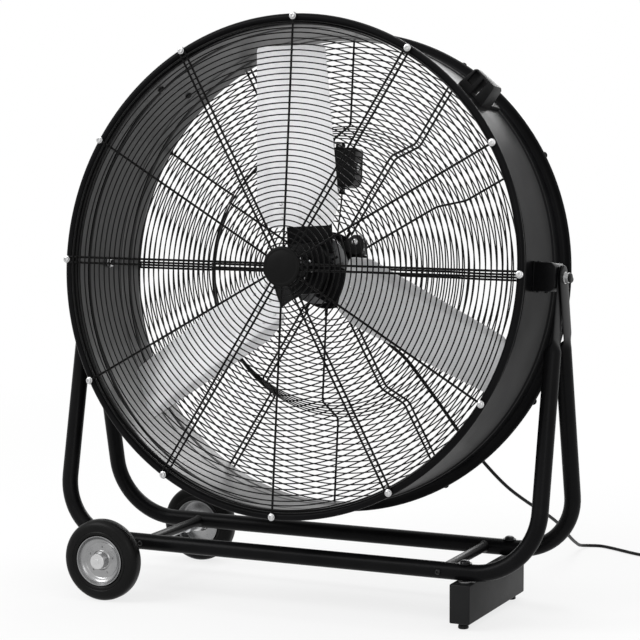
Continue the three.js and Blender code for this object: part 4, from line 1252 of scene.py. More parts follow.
@dataclass
class FootBar:
    """The box-section bar that the fan stands on at the right."""

    x: float = 364.0
    width: float = 40.0
    length: float = 300.0
    low: float = 12.0
    top: float = 86.0
    slot_margin: float = 9.0
    slot_deep: float = 30.0
    pad_y: float = 128.0
    tube_y: float = 120.0
    bolt_seat: float = 120.2

    def build(self) -> None:
        """Builds the bar, its pads and the bolts that hold it under the tubes."""
        at = move(self.x)
        publish("foot_box", self._box(), FOOT_PAINT, Body.BASE, ("foot_bar",), at)
        for end in End:
            name = end.name.lower()
            pad = turned([
                (0, 0), (8.4, 0), (9.6, 0.6), (10.0, 2.0), (9.6, 6.5), (8.4, 7.2), (8.4, 11.7),
                (0, 11.7),
            ], 32)
            publish(
                f"pad_{name}", pad, RUBBER, Body.BASE, (f"foot_pad_{name}",),
                at @ move(0, end.value * self.pad_y, 0) @ upwards(),
            )
            bolt = washer(4.2, 13.0, 0, 1.4)
            bolt.add(turned([
                (0, 1.4), (9.6, 1.4), (9.8, 2.2), (8.6, 4.6), (6.0, 6.4), (0, 7.0),
            ], 32))
            bolt.add(rod(4.0, -42.0, 1.4, 16))
            publish(
                f"foot_bolt_{name}_dome", bolt, BLACK_ZINC, Body.BASE, (f"foot_bolt_{name}",),
                at @ move(0, end.value * self.tube_y, self.bolt_seat) @ upwards(),
            )
            publish(
                f"foot_spacer_{name}_ring", washer(4.3, 12.0, 0.2, 1.8), ZINC, Body.BASE,
                (f"foot_spacer_{name}",), at @ move(0, end.value * self.tube_y, self.top) @ upwards(),
            )

    def _box(self) -> Shape:
        """Draws the bar with rounded corners and the slot underneath.

        Returns:
            The bar.
        """
        half = self.width / 2
        outline = [(-half, self.low), (half, self.low), (half, self.top), (-half, self.top)]
        bar = prism(outline, -self.length / 2, self.length / 2)
        bar.sink(bar.facing((0, 0, -1)), self.slot_margin, (0, 0, self.slot_deep))
        return bar.bevel(2.6, 3)


# ---------------------------------------------------------------- wheels


@dataclass
class Wheel:
    """One of the two wheels: a solid tyre on a pressed rim with a hub."""

    end: End
    x: float = -362.0
    y: float = 202.0
    radius: float = 80.0
    width: float = 38.0
    bore: float = 50.0
    hole_circle: float = 26.5
    hole: float = 2.2
    hole_deep: float = 1.4
    holes: int = 5
    dish: float = 12.8

    def build(self) -> None:
        """Builds the wheel's pieces."""
        name = self.end.name.lower()
        body = Body.WHEEL_FRONT if self.end is End.FRONT else Body.WHEEL_REAR
        turn = Matrix.Rotation(math.pi if self.end is End.FRONT else 0.0, 4, "Z")
        at = move(self.x, self.end.value * self.y, self.radius) @ turn
        publish(f"wheel_tyre_{name}", self._tyre(), TYRE, body, (f"tyre_{name}",), at, 30.0)
        # the disc takes the darker copy of the zinc as painted shade
        publish(f"wheel_disc_{name}", self._rim(), SHADED_RIM_ZINC, body, (f"wheel_rim_{name}",), at, 30.0)
        publish(f"wheel_boss_{name}", self._hub(), ZINC, body, (f"wheel_hub_{name}",), at, 35.0)

    def _tyre(self) -> Shape:
        """Turns the tyre, with a raised ring and a groove on each wall.

        Returns:
            The tyre.
        """
        half, out = self.width / 2, self.radius
        wall = [
            (self.bore, half - 5.5), (self.bore + 1.2, half - 2.2), (self.bore + 3.6, half - 0.6),
            (self.bore + 6.5, half - 0.1), (self.bore + 8.0, half - 1.1), (self.bore + 9.6, half - 0.1),
            (out - 15.0, half), (out - 10.0, half - 0.9), (out - 5.6, half - 2.9),
            (out - 2.4, half - 6.2), (out - 0.7, half - 10.0), (out, half - 14.0),
        ]
        profile = wall + [(radius, -y) for radius, y in reversed(wall)]
        return turned(profile, 96)

    def _rim(self) -> Shape:
        """Turns the pressed rim and sinks its holes.

        Returns:
            The rim.
        """
        half, outer = self.width / 2, self.bore - 0.3
        shape = turned([
            (outer, half - 5.0), (outer - 0.2, half - 1.6), (outer - 1.0, half - 0.6),
            (outer - 2.2, half - 0.8), (outer - 3.2, half - 2.2), (outer - 4.6, half - 6.0),
            (outer - 7.6, half - 9.4), (outer - 10.6, half - 10.9), (outer - 12.8, half - 11.4),
            (outer - 14.4, half - 12.6), (29.4, half - self.dish), (23.6, half - self.dish),
            (20.0, half - 12.4), (18.2, half - 10.8), (16.4, half - 10.6), (16.4, half - self.dish),
            (19.0, half - 14.8), (34.0, half - 14.9), (42.0, half - 13.5), (46.0, half - 14.5),
            (46.6, 0.0), (46.6, 3.0 - half), (48.0, 0.9 - half), (49.2, 0.6 - half),
            (outer, 1.6 - half),
        ], 60)
        for index in range(self.holes):
            angle = TURN * (index + 0.35) / self.holes
            spot = Vector((math.cos(angle), 0.0, math.sin(angle))) * self.hole_circle
            spot.y = half - self.dish
            near = [
                face for face in shape.facing((0, 1, 0))
                if (face.calc_center_median() - spot).length < self.hole
            ]
            if near:
                shape.sink(near, 0.8, (0, -self.hole_deep, 0))
        return shape

    def _hub(self) -> Shape:
        """Turns the hub's boss, with the axle's square end in it.

        Returns:
            The hub.
        """
        shape = turned([
            (8.0, -21.0), (15.4, -21.0), (16.0, -20.4), (16.0, 13.0), (15.2, 15.0), (15.2, 23.6),
            (14.2, 24.8), (5.5, 25.0), (0, 25.0), (0, 18.0), (8.0, 18.0),
        ], 48)
        shape.add(block((9.0, 1.0, 9.0), (0, 24.8, 0), 0.3))
        return shape


# ---------------------------------------------------------------- drum


@dataclass
class Drum:
    """The barrel with its rolled rims, and the ends of the handles' bolts inside it."""

    radius: float = 461.0
    wall: float = 1.5
    bead_radius: float = 472.0
    bead_thick: float = 7.5
    bead_y: dict[End, float] = field(default_factory=lambda: {End.FRONT: 128.0, End.REAR: 138.0})
    ribs: tuple[float, float] = (-76.0, 86.0)
    inner_rib: float = 50.0
    segments: int = 192
    bolt_angles: tuple[float, float] = (48.0, 132.0)
    bolt_rows: tuple[float, float] = (-84.0, 30.0)

    def build(self) -> None:
        """Builds the barrel and the bolt ends inside it."""
        shell = turned(self._profile(), self.segments)
        barrel = publish("barrel", shell, DRUM_PAINT, Body.DRUM, ("drum_shell",), smooth=35.0)
        # the inside faces get the lit copy of the paint: painted reflection
        self._paint_lit_inside(barrel.data)
        ends = Shape()
        dome = turned([
            (0, -2.0), (7.4, -2.0), (7.4, 1.4), (6.4, 1.4), (5.8, 3.4), (3.6, 5.2), (0, 5.8),
        ], 20)
        for angle in self.bolt_angles:
            for y in self.bolt_rows:
                inward = move(self.radius - self.wall, y, 0) @ outwards() @ forwards()
                ends.add(dome, about_y(angle) @ inward)
        publish("handle_bolt_ends", ends, BLACK_ZINC, Body.DRUM)

    def _paint_lit_inside(self, mesh: bpy.types.Mesh) -> None:
        """Gives the faces that look at the axis a lighter, glossier copy of the drum paint, which
        paints the reflections on the barrel's inside.

        Args:
            mesh: The barrel's mesh, in place.
        """
        mesh.materials.append(LIT_INNER_PAINT.material())
        axis = PLACE.drum().to_3x3() @ Vector((0.0, 1.0, 0.0))
        middle = Vector((0.0, 0.0, PLACE.pivot_height * MM))
        for face in mesh.polygons:
            away = face.center - middle
            away -= axis * (away.dot(axis) / axis.length_squared)
            if away.length < (self.radius + 1.0) * MM and face.normal.dot(away) < 0:
                face.material_index = 1

    def _profile(self) -> list[tuple[float, float]]:
        """Draws the barrel's section, outside first, with both rims and the swages.

        Returns:
            The closed outline.
        """
        swage = (
            (-8.2, 0), (-7, 0), (-5, 0.5), (-2.7, 2.2), (0, 3.0), (2.7, 2.2), (5, 0.5), (7, 0),
            (8.2, 0),
        )
        front, rear = (
            [(self.radius + rise, rib + y) for y, rise in swage] for rib in self.ribs
        )
        outside = [
            (self.radius, -112.0), (self.radius, -110.8), *front, *rear, (self.radius, 120.8),
            (self.radius, 122.0),
        ]
        inside = [(radius - self.wall, y) for radius, y in reversed(outside)]
        skin = self.radius - self.wall
        bead = [
            (skin, 4.4), (skin, 3.4), (skin - 1.1, 1.5), (skin - 1.4, 0), (skin - 1.1, -1.5),
            (skin, -3.4), (skin, -4.4),
        ]
        inside[len(rear) + 2:len(rear) + 2] = [(radius, self.inner_rib + y) for radius, y in bead]
        return [*outside, *self._rim(End.REAR), *inside, *reversed(self._rim(End.FRONT))]

    def _rim(self, end: End) -> list[tuple[float, float]]:
        """Draws a rolled rim from the barrel's outside round to its inside.

        Args:
            end: The front or the rear rim.

        Returns:
            The points of the rim.
        """
        centre = self.bead_y[end]
        neck = [(0.9, -12.0), (3.4, -8.6), (8.0, -6.6), (12.4, -6.2)]
        points = [(self.radius + rise, centre + y) for rise, y in neck]
        for turn in range(140, -141, -20):
            angle = math.radians(turn)
            points.append((
                self.bead_radius + self.bead_thick * math.sin(angle),
                centre + self.bead_thick * math.cos(angle),
            ))
        points += [(self.radius + 2.6, centre - 7.4), (self.radius - 0.2, centre - 10.6)]
        return [(radius, end.value * y) for radius, y in points]


@dataclass
class CarryHandle:
    """A moulded handle on the crown of the barrel: a wedge on a foot, slotted for the fingers."""

    side: Side
    angle: float = 47.0
    seat: float = 459.6
    top: float = 505.0
    front: float = -13.0
    rear: float = 86.0
    base: float = 32.0
    crown: float = 25.0
    foot: float = 467.0
    slot: float = 11.5
    slot_shift: float = 4.7
    roof: float = 4.5
    shallow: float = 14.0
    deep: float = 46.0
    pocket: float = 16.0
    pocket_half: float = 8.0
    pocket_deep: float = 9.0
    pocket_span: tuple[float, float] = (30.0, 3.0)
    screw_y: float = 60.0
    screw_z: float = 16.0

    def build(self) -> None:
        """Shapes the handle and puts it on its side of the barrel."""
        side = self.side.value
        shift = -side * self.slot_shift
        low, high = shift - self.slot / 2, shift + self.slot / 2
        ceiling = self.top - self.roof
        outline = [
            (self.seat, -self.base), (self.foot, -self.base), (self.top - 4, -self.crown - 2),
            (self.top, -self.crown + 2), (self.top, self.crown - 2), (self.top - 4, self.crown + 2),
            (self.foot, self.base), (self.seat, self.base), (self.seat, high), (ceiling, high),
            (ceiling, low), (self.seat, low),
        ]
        body = prism(outline, self.front, self.front + 1.0)
        for vert in body.bm.verts:
            if vert.co.y > self.front:
                share = 0.5 - side * vert.co.z / (2 * self.base)
                vert.co.y = self.front + self.shallow + (self.deep - self.shallow) * share
        self._pocket(body)
        body.bevel(1.6, 3, 0.3)
        body.add(self._foot())
        angle = self.angle if side > 0 else 180.0 - self.angle
        name = self.side.name.lower()
        publish(f"grip_{name}", body, PLASTIC, Body.DRUM, (f"handle_{name}",), about_y(angle))

    def _foot(self) -> Shape:
        """Shapes the low foot that runs back from the wedge, with its two screws.

        Returns:
            The foot.
        """
        long = self.rear - self.front - 4.0
        size = (self.foot - self.seat, long, 2 * self.base - 4.0)
        foot = block(size, ((self.foot + self.seat) / 2, self.rear - long / 2, 0), 1.6, 3)
        for z in (-self.screw_z, self.screw_z):
            screw = button_screw(5.0, 3.0, 2.0, 5.0)
            foot.add(screw, move(self.foot, self.screw_y, z) @ outwards())
        return foot

    def _pocket(self, body: Shape) -> None:
        """Sinks the moulding's pocket into the front face of one cheek.

        Args:
            body: The handle.
        """
        middle, half = self.side.value * self.pocket, self.pocket_half
        low, high = (self.top - depth for depth in self.pocket_span)
        cuts = (
            ((0, 0, middle - half), (0, 0, 1)), ((0, 0, middle + half), (0, 0, 1)),
            ((low, 0, 0), (1, 0, 0)), ((high, 0, 0), (1, 0, 0)),
        )
        for place, normal in cuts:
            faces = [
                face for face in body.facing((0, -1, 0))
                if face.calc_center_median().y < self.front + 1
            ]
            edges = {edge for face in faces for edge in face.edges}
            verts = {vert for face in faces for vert in face.verts}
            bmesh.ops.bisect_plane(
                body.bm, geom=[*verts, *edges, *faces], plane_co=place, plane_no=normal
            )
        inner = [
            face for face in body.facing((0, -1, 0))
            if abs(face.calc_center_median().z - middle) < half
            and low < face.calc_center_median().x < high
        ]
        body.sink(inner, 0.4, (0, self.pocket_deep, 0))


@dataclass
class PivotBracket:
    """The block on the side of the barrel that carries a pivot."""

    side: Side
    seat: float = 459.7
    face: float = 503.7
    high: float = 27.0
    deep: float = 33.0
    taper: float = 8.0
    screw_x: float = 470.0
    screw_y: float = 24.0

    def build(self) -> None:
        """Shapes the bracket with its flange and fixing screws."""
        outline = [
            (self.seat, -self.high), (self.face - self.taper, -self.high),
            (self.face, -self.high + self.taper), (self.face, self.high - self.taper),
            (self.face - self.taper, self.high), (self.seat, self.high),
        ]
        body = prism(outline, -self.deep, self.deep, 2.2, 3)
        body.add(block((3.4, 68.0, 57.0), (self.seat + 2.6, 0, 0), 1.2))
        turn = about_y(0.0 if self.side is Side.RIGHT else 180.0)
        name = self.side.name.lower()
        publish(f"bracket_{name}", body, BLACK_PAINT, Body.DRUM, (f"pivot_bracket_{name}",), turn)
        screws = Shape()
        for y in (-self.screw_y, self.screw_y):
            for end in (-1, 1):
                lie = Matrix.Rotation(math.radians(90 * end), 4, "X")
                place = move(self.screw_x, y, end * self.high)
                screws.add(button_screw(4.0, 2.6, 2.0), place @ lie)
        publish(f"bracket_screws_{name}", screws, BLACK_ZINC, Body.DRUM, (), turn)


# ---------------------------------------------------------------- guards


@dataclass
class Guard:
    """A wire guard: close rings welded to single spokes and hairpin spokes."""

    spoke: float = 2.2
    ring: float = 1.35
    hairpin: float = 5.4
    weld: float = 0.15
    bolt_circle: float = 473.4
    eye_reach: float = 469.0
    corner: float = 9.0
    pairs: int = 6
    bend_steps: int = 12

    @property
    def stand(self) -> float:
        """How far the rings' middles stand off the spokes' middles."""
        return self.spoke + self.ring - self.weld

    def weave(self, end: End, line: Sequence[tuple[float, float]], places: Profile) -> None:
        """Makes the wires: single and hairpin spokes in turn, the rings and the front's centre disc.

        Args:
            end: The front or the rear guard.
            line: Corners of (radius, y) of every spoke.
            places: The (radius, y) of each ring.
        """
        name = end.name.lower()
        spokes = Shape()
        spokes.around(self._single(line), evenly(self.pairs, 90.0))
        spokes.around(self._double(line), evenly(self.pairs, 60.0))
        if end is End.FRONT:
            seat = line[0][1]
            spokes.add(washer(8, 30, seat - 1.5, seat + 1.9, 48))
        publish(f"{name}_spokes", spokes, WIRE_PAINT, Body.DRUM, smooth=50.0)
        publish(
            f"{name}_rings", rings(places, self.ring), WIRE_PAINT, Body.DRUM, (f"{name}_guard",),
            smooth=70.0,
        )

    def _single(self, line: Sequence[tuple[float, float]]) -> Shape:
        """Bends one spoke that ends in an eye.

        Args:
            line: Corners of (radius, y), the last one just short of the bolt circle.

        Returns:
            The spoke, along +X.
        """
        path = rounded_line([(radius, y, 0.0) for radius, y in line], self.corner)
        shape = wire(path, self.spoke)
        y = line[-1][1]
        return shape.add(rings([(self.hairpin, 0.0)], self.spoke, 8, 24), move(self.bolt_circle, y))

    def _double(self, line: Sequence[tuple[float, float]]) -> Shape:
        """Bends one hairpin that goes round its bolt.

        Args:
            line: Corners of (radius, y), the last one just short of the bolt circle.

        Returns:
            The hairpin, along +X.
        """
        leg = rounded_line([(radius, y, -self.hairpin) for radius, y in line], self.corner)
        y = line[-1][1]
        bend = []
        for step in range(self.bend_steps + 1):
            turn = math.pi * step / self.bend_steps - math.pi / 2
            bend.append(Vector((
                self.bolt_circle + self.hairpin * math.cos(turn), y, self.hairpin * math.sin(turn)
            )))
        back = [Vector((point.x, point.y, -point.z)) for point in reversed(leg)]
        return wire([*leg, *bend, *back], self.spoke)


@dataclass
class FrontGuard(Guard):
    """The flat guard over the drum's mouth, its bolts and the bare centre badge."""

    rim_y: float = 135.5
    bolts: int = 12
    rim_rings: tuple[float, float] = (459.0, 450.5)
    first: float = 442.0
    pitch: float = 11.06
    count: int = 37
    badge: float = 38.4
    badge_y: float = -138.7

    def build(self) -> None:
        """Bends the guard and bolts it on."""
        seat = -(self.rim_y + self.spoke)
        line = [(14.0, seat), (240.0, seat), (self.eye_reach, seat)]
        radii = [*self.rim_rings, *(self.first - self.pitch * step for step in range(self.count))]
        self.weave(End.FRONT, line, [(radius, seat - self.stand) for radius in radii])
        self._bolts(seat - self.spoke)
        self._badge()

    def _bolts(self, seat: float) -> None:
        """Bolts the guard to the rolled rim.

        Args:
            seat: Front of the spokes' ends.
        """
        for index in range(self.bolts):
            bolt = turned([
                (0, -9.0), (2.3, -9.0), (2.3, 0.1), (6.8, 0.1), (6.8, 1.1), (5.6, 1.5), (5.4, 3.0),
                (4.8, 4.2), (3.6, 4.9), (3.0, 4.9), (2.8, 1.6), (0, 1.2),
            ], 24)
            angle = 90.0 - 360.0 * index / self.bolts
            publish(
                f"guard_screw_{index + 1:02d}", bolt, ZINC, Body.DRUM,
                (f"guard_bolt_{index + 1:02d}",),
                about_y(angle) @ move(self.bolt_circle, seat) @ forwards(),
            )

    def _badge(self) -> None:
        """Fits the bare, gently domed badge."""
        seat, radius = self.badge_y, self.badge
        disc = turned([
            (0, seat), (radius, seat), (radius, seat - 3.6), (radius - 0.8, seat - 5.0),
            (radius - 3.0, seat - 5.9), (radius - 6.0, seat - 6.2), (radius - 7.0, seat - 5.8),
            (radius - 8.0, seat - 6.1), (12.0, seat - 6.9), (0, seat - 7.0),
        ], 96)
        publish("badge_disc", disc, BADGE_PLASTIC, Body.DRUM, ("centre_badge",))


@dataclass
class RearGuard(Guard):
    """The rear guard: a flat band, a cone going in and the plate that holds the motor."""

    rim_y: float = 145.5
    outer: float = 462.0
    cone_outer: float = 294.0
    cone_inner: float = 259.0
    inner_y: float = 69.3
    plate_inner: float = 66.5
    plate_outer: float = 76.0
    plate_half: float = 1.5
    plate_tab: float = 90.0
    plate_bolts: float = 82.0

    def build(self) -> None:
        """Bends the guard, bolts it on and fits the motor's plate."""
        seat = self.rim_y + self.spoke
        corners = [
            (86.0, self.inner_y), (self.cone_inner, self.inner_y), (self.cone_outer, seat),
            (self.eye_reach, seat),
        ]
        lines = (
            ((self.outer, seat), (self.cone_outer + 6, seat), 15),
            ((self.cone_outer - 3, seat - 8), (self.cone_inner + 3, self.inner_y + 8), 6),
            ((self.cone_inner - 6, self.inner_y), (98.0, self.inner_y), 15),
        )
        places = []
        for start, end, count in lines:
            for index in range(count):
                share = index / (count - 1)
                radius, y = Vector(start).lerp(Vector(end), share)
                places.append((radius, y + self.stand))
        self.weave(End.REAR, corners, places)
        self._plate()
        self._bolts(seat + self.spoke)

    def _plate(self) -> None:
        """Cuts the ring plate and bolts the motor to it."""
        low, high = self.inner_y - self.plate_half, self.inner_y + self.plate_half
        plate = washer(self.plate_inner, self.plate_outer, low, high, 96)
        reach = self.plate_tab - self.plate_outer
        tab = block((reach + 3.0, 3.0, 6.0), (self.plate_tab - reach / 2 - 1.5, self.inner_y, 0), 0.6)
        plate.around(tab, evenly(12))
        publish("motor_plate", plate, BLACK_PAINT, Body.DRUM)
        bolts = Shape()
        head = hexagon(11.0, 0.0, 5.0, 0.8).add(rod(7.0, -0.2, 0.9, 24))
        for angle in evenly(4, 30.0):
            place = about_y(angle) @ move(self.plate_bolts)
            bolts.add(head, place @ move(0, high, 0))
            bolts.add(head, place @ move(0, low - 5.3, 0) @ forwards())
        publish("motor_bolts", bolts, BLACK_ZINC, Body.DRUM)

    def _bolts(self, seat: float) -> None:
        """Bolts the guard to the rear rim.

        Args:
            seat: Back of the spokes' ends.
        """
        bolt = turned([
            (0, -6.0), (2.3, -6.0), (2.3, 0.1), (6.2, 0.1), (6.2, 1.0), (5.0, 1.4), (4.7, 3.4),
            (3.2, 4.6), (0, 4.9),
        ], 20)
        bolt.transform(move(self.bolt_circle, seat))
        publish("rear_guard_screws", Shape().around(bolt, evenly(12)), BLACK_ZINC, Body.DRUM)


# ---------------------------------------------------------------- motor and switch


@dataclass
class Motor:
    """The motor, its boxes, its leads and the speed knob."""

    radius: float = 65.0
    bore: float = 9.8
    front: float = 24.0
    back: float = 108.0
    tail: float = 12.0
    flange: float = 72.0
    ear: float = 92.0
    flange_y: float = 62.5
    bell_back: float = 23.7
    bell_length: float = 16.0
    nose: float = 26.0
    box_x: float = 14.0
    box_z: float = 198.0
    box_low: float = -33.0
    box_high: float = 45.0
    box_y: float = 71.1
    lead_radius: float = 1.6
    lead: Sequence[Point] = (
        (14, 87, 170), (13, 91, 148), (9, 96, 120), (8, 93, 92), (8, 88, 60),
    )

    def build(self) -> None:
        """Builds the motor and what hangs on it."""
        self._body()
        self._bell()
        self._switch_box()
        self._knob()
        self._cable_box()
        leads = wire(smooth_path(self.lead, 4.0), self.lead_radius, 10)
        publish("motor_leads", leads, CORD_SHEATH, Body.DRUM)

    def _body(self) -> None:
        """Turns the motor's case and adds its fins and the ears of its flange."""
        radius, low, front, back = self.radius, self.flange_y, self.front, self.back
        body = turned([
            (self.bore, front), (radius - 3, front), (radius, front + 3), *self._grooves(front + 6),
            (radius, low - 1), (self.flange, low), (self.flange, low + 5), (radius, low + 5.6),
            *self._grooves(low + 8), (radius, back - 6), (radius - 3, back - 1),
            (radius - 10, back + 4), (radius - 22, back + 8), (radius - 34, back + self.tail),
            (0, back + self.tail), (0, front + 40), (self.bore, front + 40),
        ], 96)
        ear = prism(
            [(radius - 4, -11), (self.ear - 7, -8), (self.ear, -4), (self.ear, 4), (self.ear - 7, 8),
             (radius - 4, 11)], low, low + 5.0, 1.0,
        )
        body.around(ear, evenly(4, 30.0))
        fin = block((4.0, 24.0, 2.4), (radius + 0.4, self.back - 19, 0), 0.8)
        body.around(fin, evenly(24))
        publish("motor_case", body, BLACK_PAINT, Body.DRUM, ("motor_body",), smooth=35.0)

    def _grooves(self, start: float, count: int = 4, pitch: float = 8.0) -> Profile:
        """Draws grooves round the case.

        Args:
            start: Where the first one starts.
            count: How many there are.
            pitch: From one to the next.

        Returns:
            Their points of (radius, y).
        """
        points, root = [], self.radius - 3
        for index in range(count):
            y = start + index * pitch
            points += [(self.radius, y), (root, y + 0.8), (root, y + 3.2), (self.radius, y + 4)]
        return points

    def _bell(self) -> None:
        """Turns the cast end bell with its ribs, and lays dark strips on it as painted shade for its
        vents.
        """
        back, front = self.bell_back, self.bell_back - self.bell_length
        rim = self.radius + 2
        bell = turned([
            (self.bore, back), (self.bore, front - 2), (self.nose - 3, front - 2),
            (self.nose, front - 0.4), (self.nose + 1, front + 3), (self.nose + 6, front + 4.4),
            (rim - 12, front + 5.6), (rim - 4, front + 8), (rim, back - 6), (rim, back - 2),
            (rim - 1, back),
        ], 96)
        rib = block((30.0, 5.0, 3.6), (44.0, front + 4.0, 0), 1.2)
        bell.around(rib, evenly(12, 15.0))
        publish("cast_end_bell", bell, CAST, Body.DRUM, ("motor_end_bell",), smooth=35.0)
        # Dark plastic strips stand for the vent openings: painted shade, not holes.
        vent_shade = block((15.0, 0.6, 5.0), (45.0, front + 4.5, 0), 0.2)
        publish("bell_vent_shade", Shape().around(vent_shade, evenly(12)), PLASTIC, Body.DRUM)

    def _switch_box(self) -> None:
        """Moulds the switch box with its lid and ears, and adds its screws and speed ticks."""
        at = move(self.box_x, self.box_y, self.box_z)
        low, high = self.box_low, self.box_high
        outline = [
            (-29, low), (19, low), (27, low + 3), (33, low + 13), (33, high - 4), (29, high),
            (-29, high), (-33, high - 4), (-33, low + 4),
        ]
        body = prism(outline, 0.0, 33.0, 1.6, 3)
        inner = [(x * 0.965, z * 0.97) for x, z in outline]
        body.add(prism(inner, 32.0, 34.4))
        body.add(prism(outline, 34.2, 40.0, 1.6, 3))
        ear = [(-10, -5), (10, -5), (10, 5), (8.6, 7.6), (6, 9), (-6, 9), (-8.6, 7.6), (-10, 5)]
        body.add(prism([(x, high + z) for x, z in ear], 0.0, 3.0, 0.5))
        body.add(prism([(x, low - z) for x, z in ear], 0.0, 3.0, 0.5))
        body.add(rod(6.5, -10.0, 10.0, 24, 1.5), move(0, 16.0, low - 3.0) @ upwards())
        publish("switch_case", body, PLASTIC, Body.DRUM, ("switch_box",), at)
        screws = Shape()
        head = button_screw(4.4, 2.6, 1.8)
        for z in (low - 4.6, high + 4.6):
            screws.add(head, move(0, 0, z) @ forwards())
            screws.add(head, move(0, 3.0, z))
        for x, z in ((-27.0, low + 7), (21.0, low + 7), (-27.0, high - 7), (27.0, high - 7)):
            screws.add(button_screw(2.8, 1.4, 1.2), move(x, 39.9, z))
        screws.add(button_screw(6.8, 2.6, 2.0), move(33.0, 15.0, 8.0) @ outwards())
        publish("switch_screws", screws, ZINC, Body.DRUM, (), at)
        tick = block((1.2, 0.5, 5.0), (0, 40.1, 20.5), 0.1)
        scale = Shape().around(tick, [-40.0 * index for index in range(4)])
        publish("speed_ticks", scale, ZINC, Body.DRUM, (), at)

    def _knob(self) -> None:
        """Turns the speed knob with its grips and pointer."""
        at = move(self.box_x, self.box_y + 40.3, self.box_z)
        knob = turned([
            (0, -10), (3, -10), (3, 0), (14.6, 0), (15, 0.5), (15, 1.8), (12.4, 3.4), (11.6, 6),
            (11.0, 13.6), (10.2, 14.8), (0, 15.0),
        ], 48)
        grip = block((1.6, 8.6, 1.8), (11.4, 8.4, 0), 0.5)
        knob.around(grip, evenly(18))
        publish("knob_grip", knob, KNOB_PLASTIC, Body.KNOB, ("speed_knob",), at)
        line = block((1.8, 0.8, 8.0), (0, 15.1, 6.4), 0.3)
        publish("knob_line", line, ZINC, Body.KNOB, (), at)

    def _cable_box(self) -> None:
        """Moulds the terminal box beside the motor, with its lid and screws."""
        outline = [
            (47, 40), (60, 34), (74, 31), (84, 31), (91, 40), (91, 60), (83, 70), (70, 70), (47, 54),
        ]
        body = prism(outline, 25.4, 40.0, 2.4, 3)
        body.add(prism([
            (47, 40), (60, 34), (74, 31), (84, 31), (86, 36), (86, 60), (79, 68), (66, 68), (47, 54),
        ], 36.0, 62.2, 2.4, 3))
        publish("terminal_box", body, PLASTIC, Body.DRUM, ("cable_box",))
        screws = Shape()
        for z in (42.0, 58.0):
            screws.add(button_screw(2.6, 1.6, 1.2), move(91.0, 32.6, z) @ outwards())
        screws.add(button_screw(7.0, 2.6, 2.0), move(74.0, 25.6, 56.0) @ forwards())
        publish("terminal_screws", screws, ZINC, Body.DRUM)


# ---------------------------------------------------------------- rotor


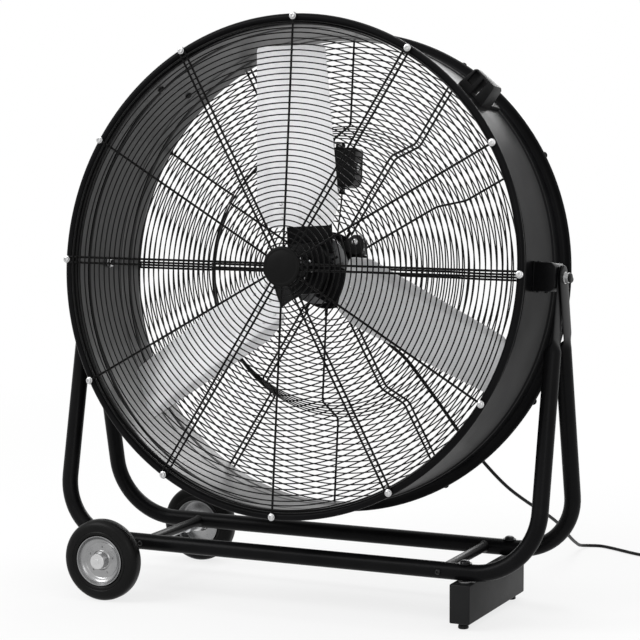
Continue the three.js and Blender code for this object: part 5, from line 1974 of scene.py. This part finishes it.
@dataclass
class Rotor:
    """The hub, the shaft and the three creased blades."""

    plane_y: float = -26.0
    first: float = 95.5
    count: int = 3
    pitch: float = 25.0
    outline: Profile = (
        (82.0, -51.0), (125.0, -66.0), (435.0, -53.0), (435.0, 79.0), (125.0, 92.0), (82.0, 70.0),
    )
    crease: float = 61.0
    bend: float = 9.0
    fold_half: float = 1.2
    corner: float = 9.0
    sheet: float = 2.0
    rivet_x: tuple[float, ...] = (99.0, 127.0)
    rivet_z: tuple[float, ...] = (-27.0, 10.0, 46.0)
    hub: float = 57.0
    hub_half: float = 12.0
    boss_half: float = 20.0
    bore: float = 9.8

    def angles(self) -> list[float]:
        """Degrees of the blades."""
        return [self.first - 360.0 * index / self.count for index in range(self.count)]

    def place(self, angle: float) -> Matrix:
        """Gives a blade's pitched frame in the drum.

        Args:
            angle: Degrees up from +X.

        Returns:
            The frame.
        """
        lean = Matrix.Rotation(math.radians(self.pitch), 4, "X")
        return about_y(angle) @ move(0, self.plane_y, 0) @ lean

    def build(self) -> None:
        """Builds the rotor's pieces."""
        for index, angle in enumerate(self.angles()):
            at = self.place(angle)
            publish(
                f"blade_sheet_{index + 1}", self._blade(), ALUMINIUM, Body.ROTOR,
                (f"blade_{index + 1}",), at, 20.0,
            )
            rivets = Shape()
            for x in self.rivet_x:
                for z in self.rivet_z:
                    rivets.add(rod(3.4, -1.9, 4.6, 16, 1.1), move(x, 0, z))
            publish(f"blade_rivets_{index + 1}", rivets, ZINC, Body.ROTOR, (), at)
        self._hub()
        self._shaft()

    def _blade(self) -> Shape:
        """Cuts the blade from sheet, rounds its corners and folds its crease.

        Returns:
            The blade, its front face at y = 0.
        """
        shape = Shape()
        face = shape.bm.faces.new([shape.bm.verts.new((x, 0.0, z)) for x, z in self.outline])
        face.normal_update()
        bmesh.ops.bevel(
            shape.bm, geom=shape.bm.verts[:], offset=self.corner, segments=6, profile=0.5,
            affect="VERTICES", material=-1, clamp_overlap=True,
        )
        for z in (self.crease - self.fold_half, self.crease + self.fold_half):
            bmesh.ops.bisect_plane(
                shape.bm, geom=shape.bm.verts[:] + shape.bm.edges[:] + shape.bm.faces[:],
                plane_co=(0, 0, z), plane_no=(0, 0, 1),
            )
        slope = math.tan(math.radians(self.bend))
        for vert in shape.bm.verts:
            past = vert.co.z - self.crease
            if past > 2.0:
                vert.co.y = -past * slope
            elif past > 0.5:
                vert.co.y = -self.fold_half * slope
        bmesh.ops.recalc_face_normals(shape.bm, faces=shape.bm.faces[:])
        if shape.bm.faces[0].normal.y > 0:
            bmesh.ops.reverse_faces(shape.bm, faces=shape.bm.faces[:])
        bmesh.ops.solidify(shape.bm, geom=shape.bm.faces[:], thickness=self.sheet)
        bmesh.ops.recalc_face_normals(shape.bm, faces=shape.bm.faces[:])
        return shape.bevel(0.35, 1, 1.2)

    def _hub(self) -> None:
        """Shapes the hub plate, its boss and the arms behind the blades."""
        corners = []
        for angle in self.angles():
            for side in (-1, 1):
                turn = math.radians(angle - side * 30.0)
                corners.append((self.hub * math.cos(turn), self.hub * math.sin(turn)))
        low, high = self.plane_y - self.boss_half, self.plane_y + self.boss_half
        half = self.hub_half
        plate = prism(corners, self.plane_y - half, self.plane_y + half, 3.0, 3)
        plate.add(turned([
            (self.bore, low), (22, low), (24, low + 2), (24, high - 2), (22, high), (self.bore, high),
        ], 48))
        arm = block((104.0, 4.0, 88.0), (80.0, 4.3, -7.0), 1.4)
        for angle in self.angles():
            plate.add(arm, self.place(angle))
        publish("spider", plate, BLACK_PAINT, Body.ROTOR, ("hub_spider",))
        screw = button_screw(2.6, 2.0, 1.4).transform(move(19.6, low) @ forwards())
        publish("hub_screws", Shape().around(screw, evenly(6, -15.0)), ZINC, Body.ROTOR)

    def _shaft(self) -> None:
        """Turns the shaft and fits the nut on its end."""
        front = self.plane_y - self.boss_half - 0.3
        shaft = turned([
            (0, front - 16), (6.6, front - 16), (7.5, front - 15), (7.5, front - 9), (9.5, front - 9),
            (9.5, 60.0), (0, 60.0),
        ], 32)
        shaft.add(hexagon(30.0, front, front - 10.0, 2.0))
        shaft.add(washer(9.6, 16.0, front, front - 1.6))
        publish("shaft_and_nut", shaft, BLACK_ZINC, Body.ROTOR, ("fan_shaft",))


# ---------------------------------------------------------------- the fan


@dataclass
class DrumFan:
    """The whole fan."""

    def build(self) -> None:
        """Builds every sub-assembly."""
        PowerCord().build()
        FloorFrame().build()
        FootBar().build()
        for end in End:
            Wheel(end).build()
        Drum().build()
        for side in Side:
            CarryHandle(side).build()
            PivotBracket(side).build()
        FrontGuard().build()
        RearGuard().build()
        Motor().build()
        Rotor().build()


def main() -> None:
    """Builds the studio and the fan."""
    logging.basicConfig(level=logging.INFO, format="%(name)s: %(message)s")
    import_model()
    Studio().build()
    DrumFan().build()


if __name__ == "__main__":
    main()
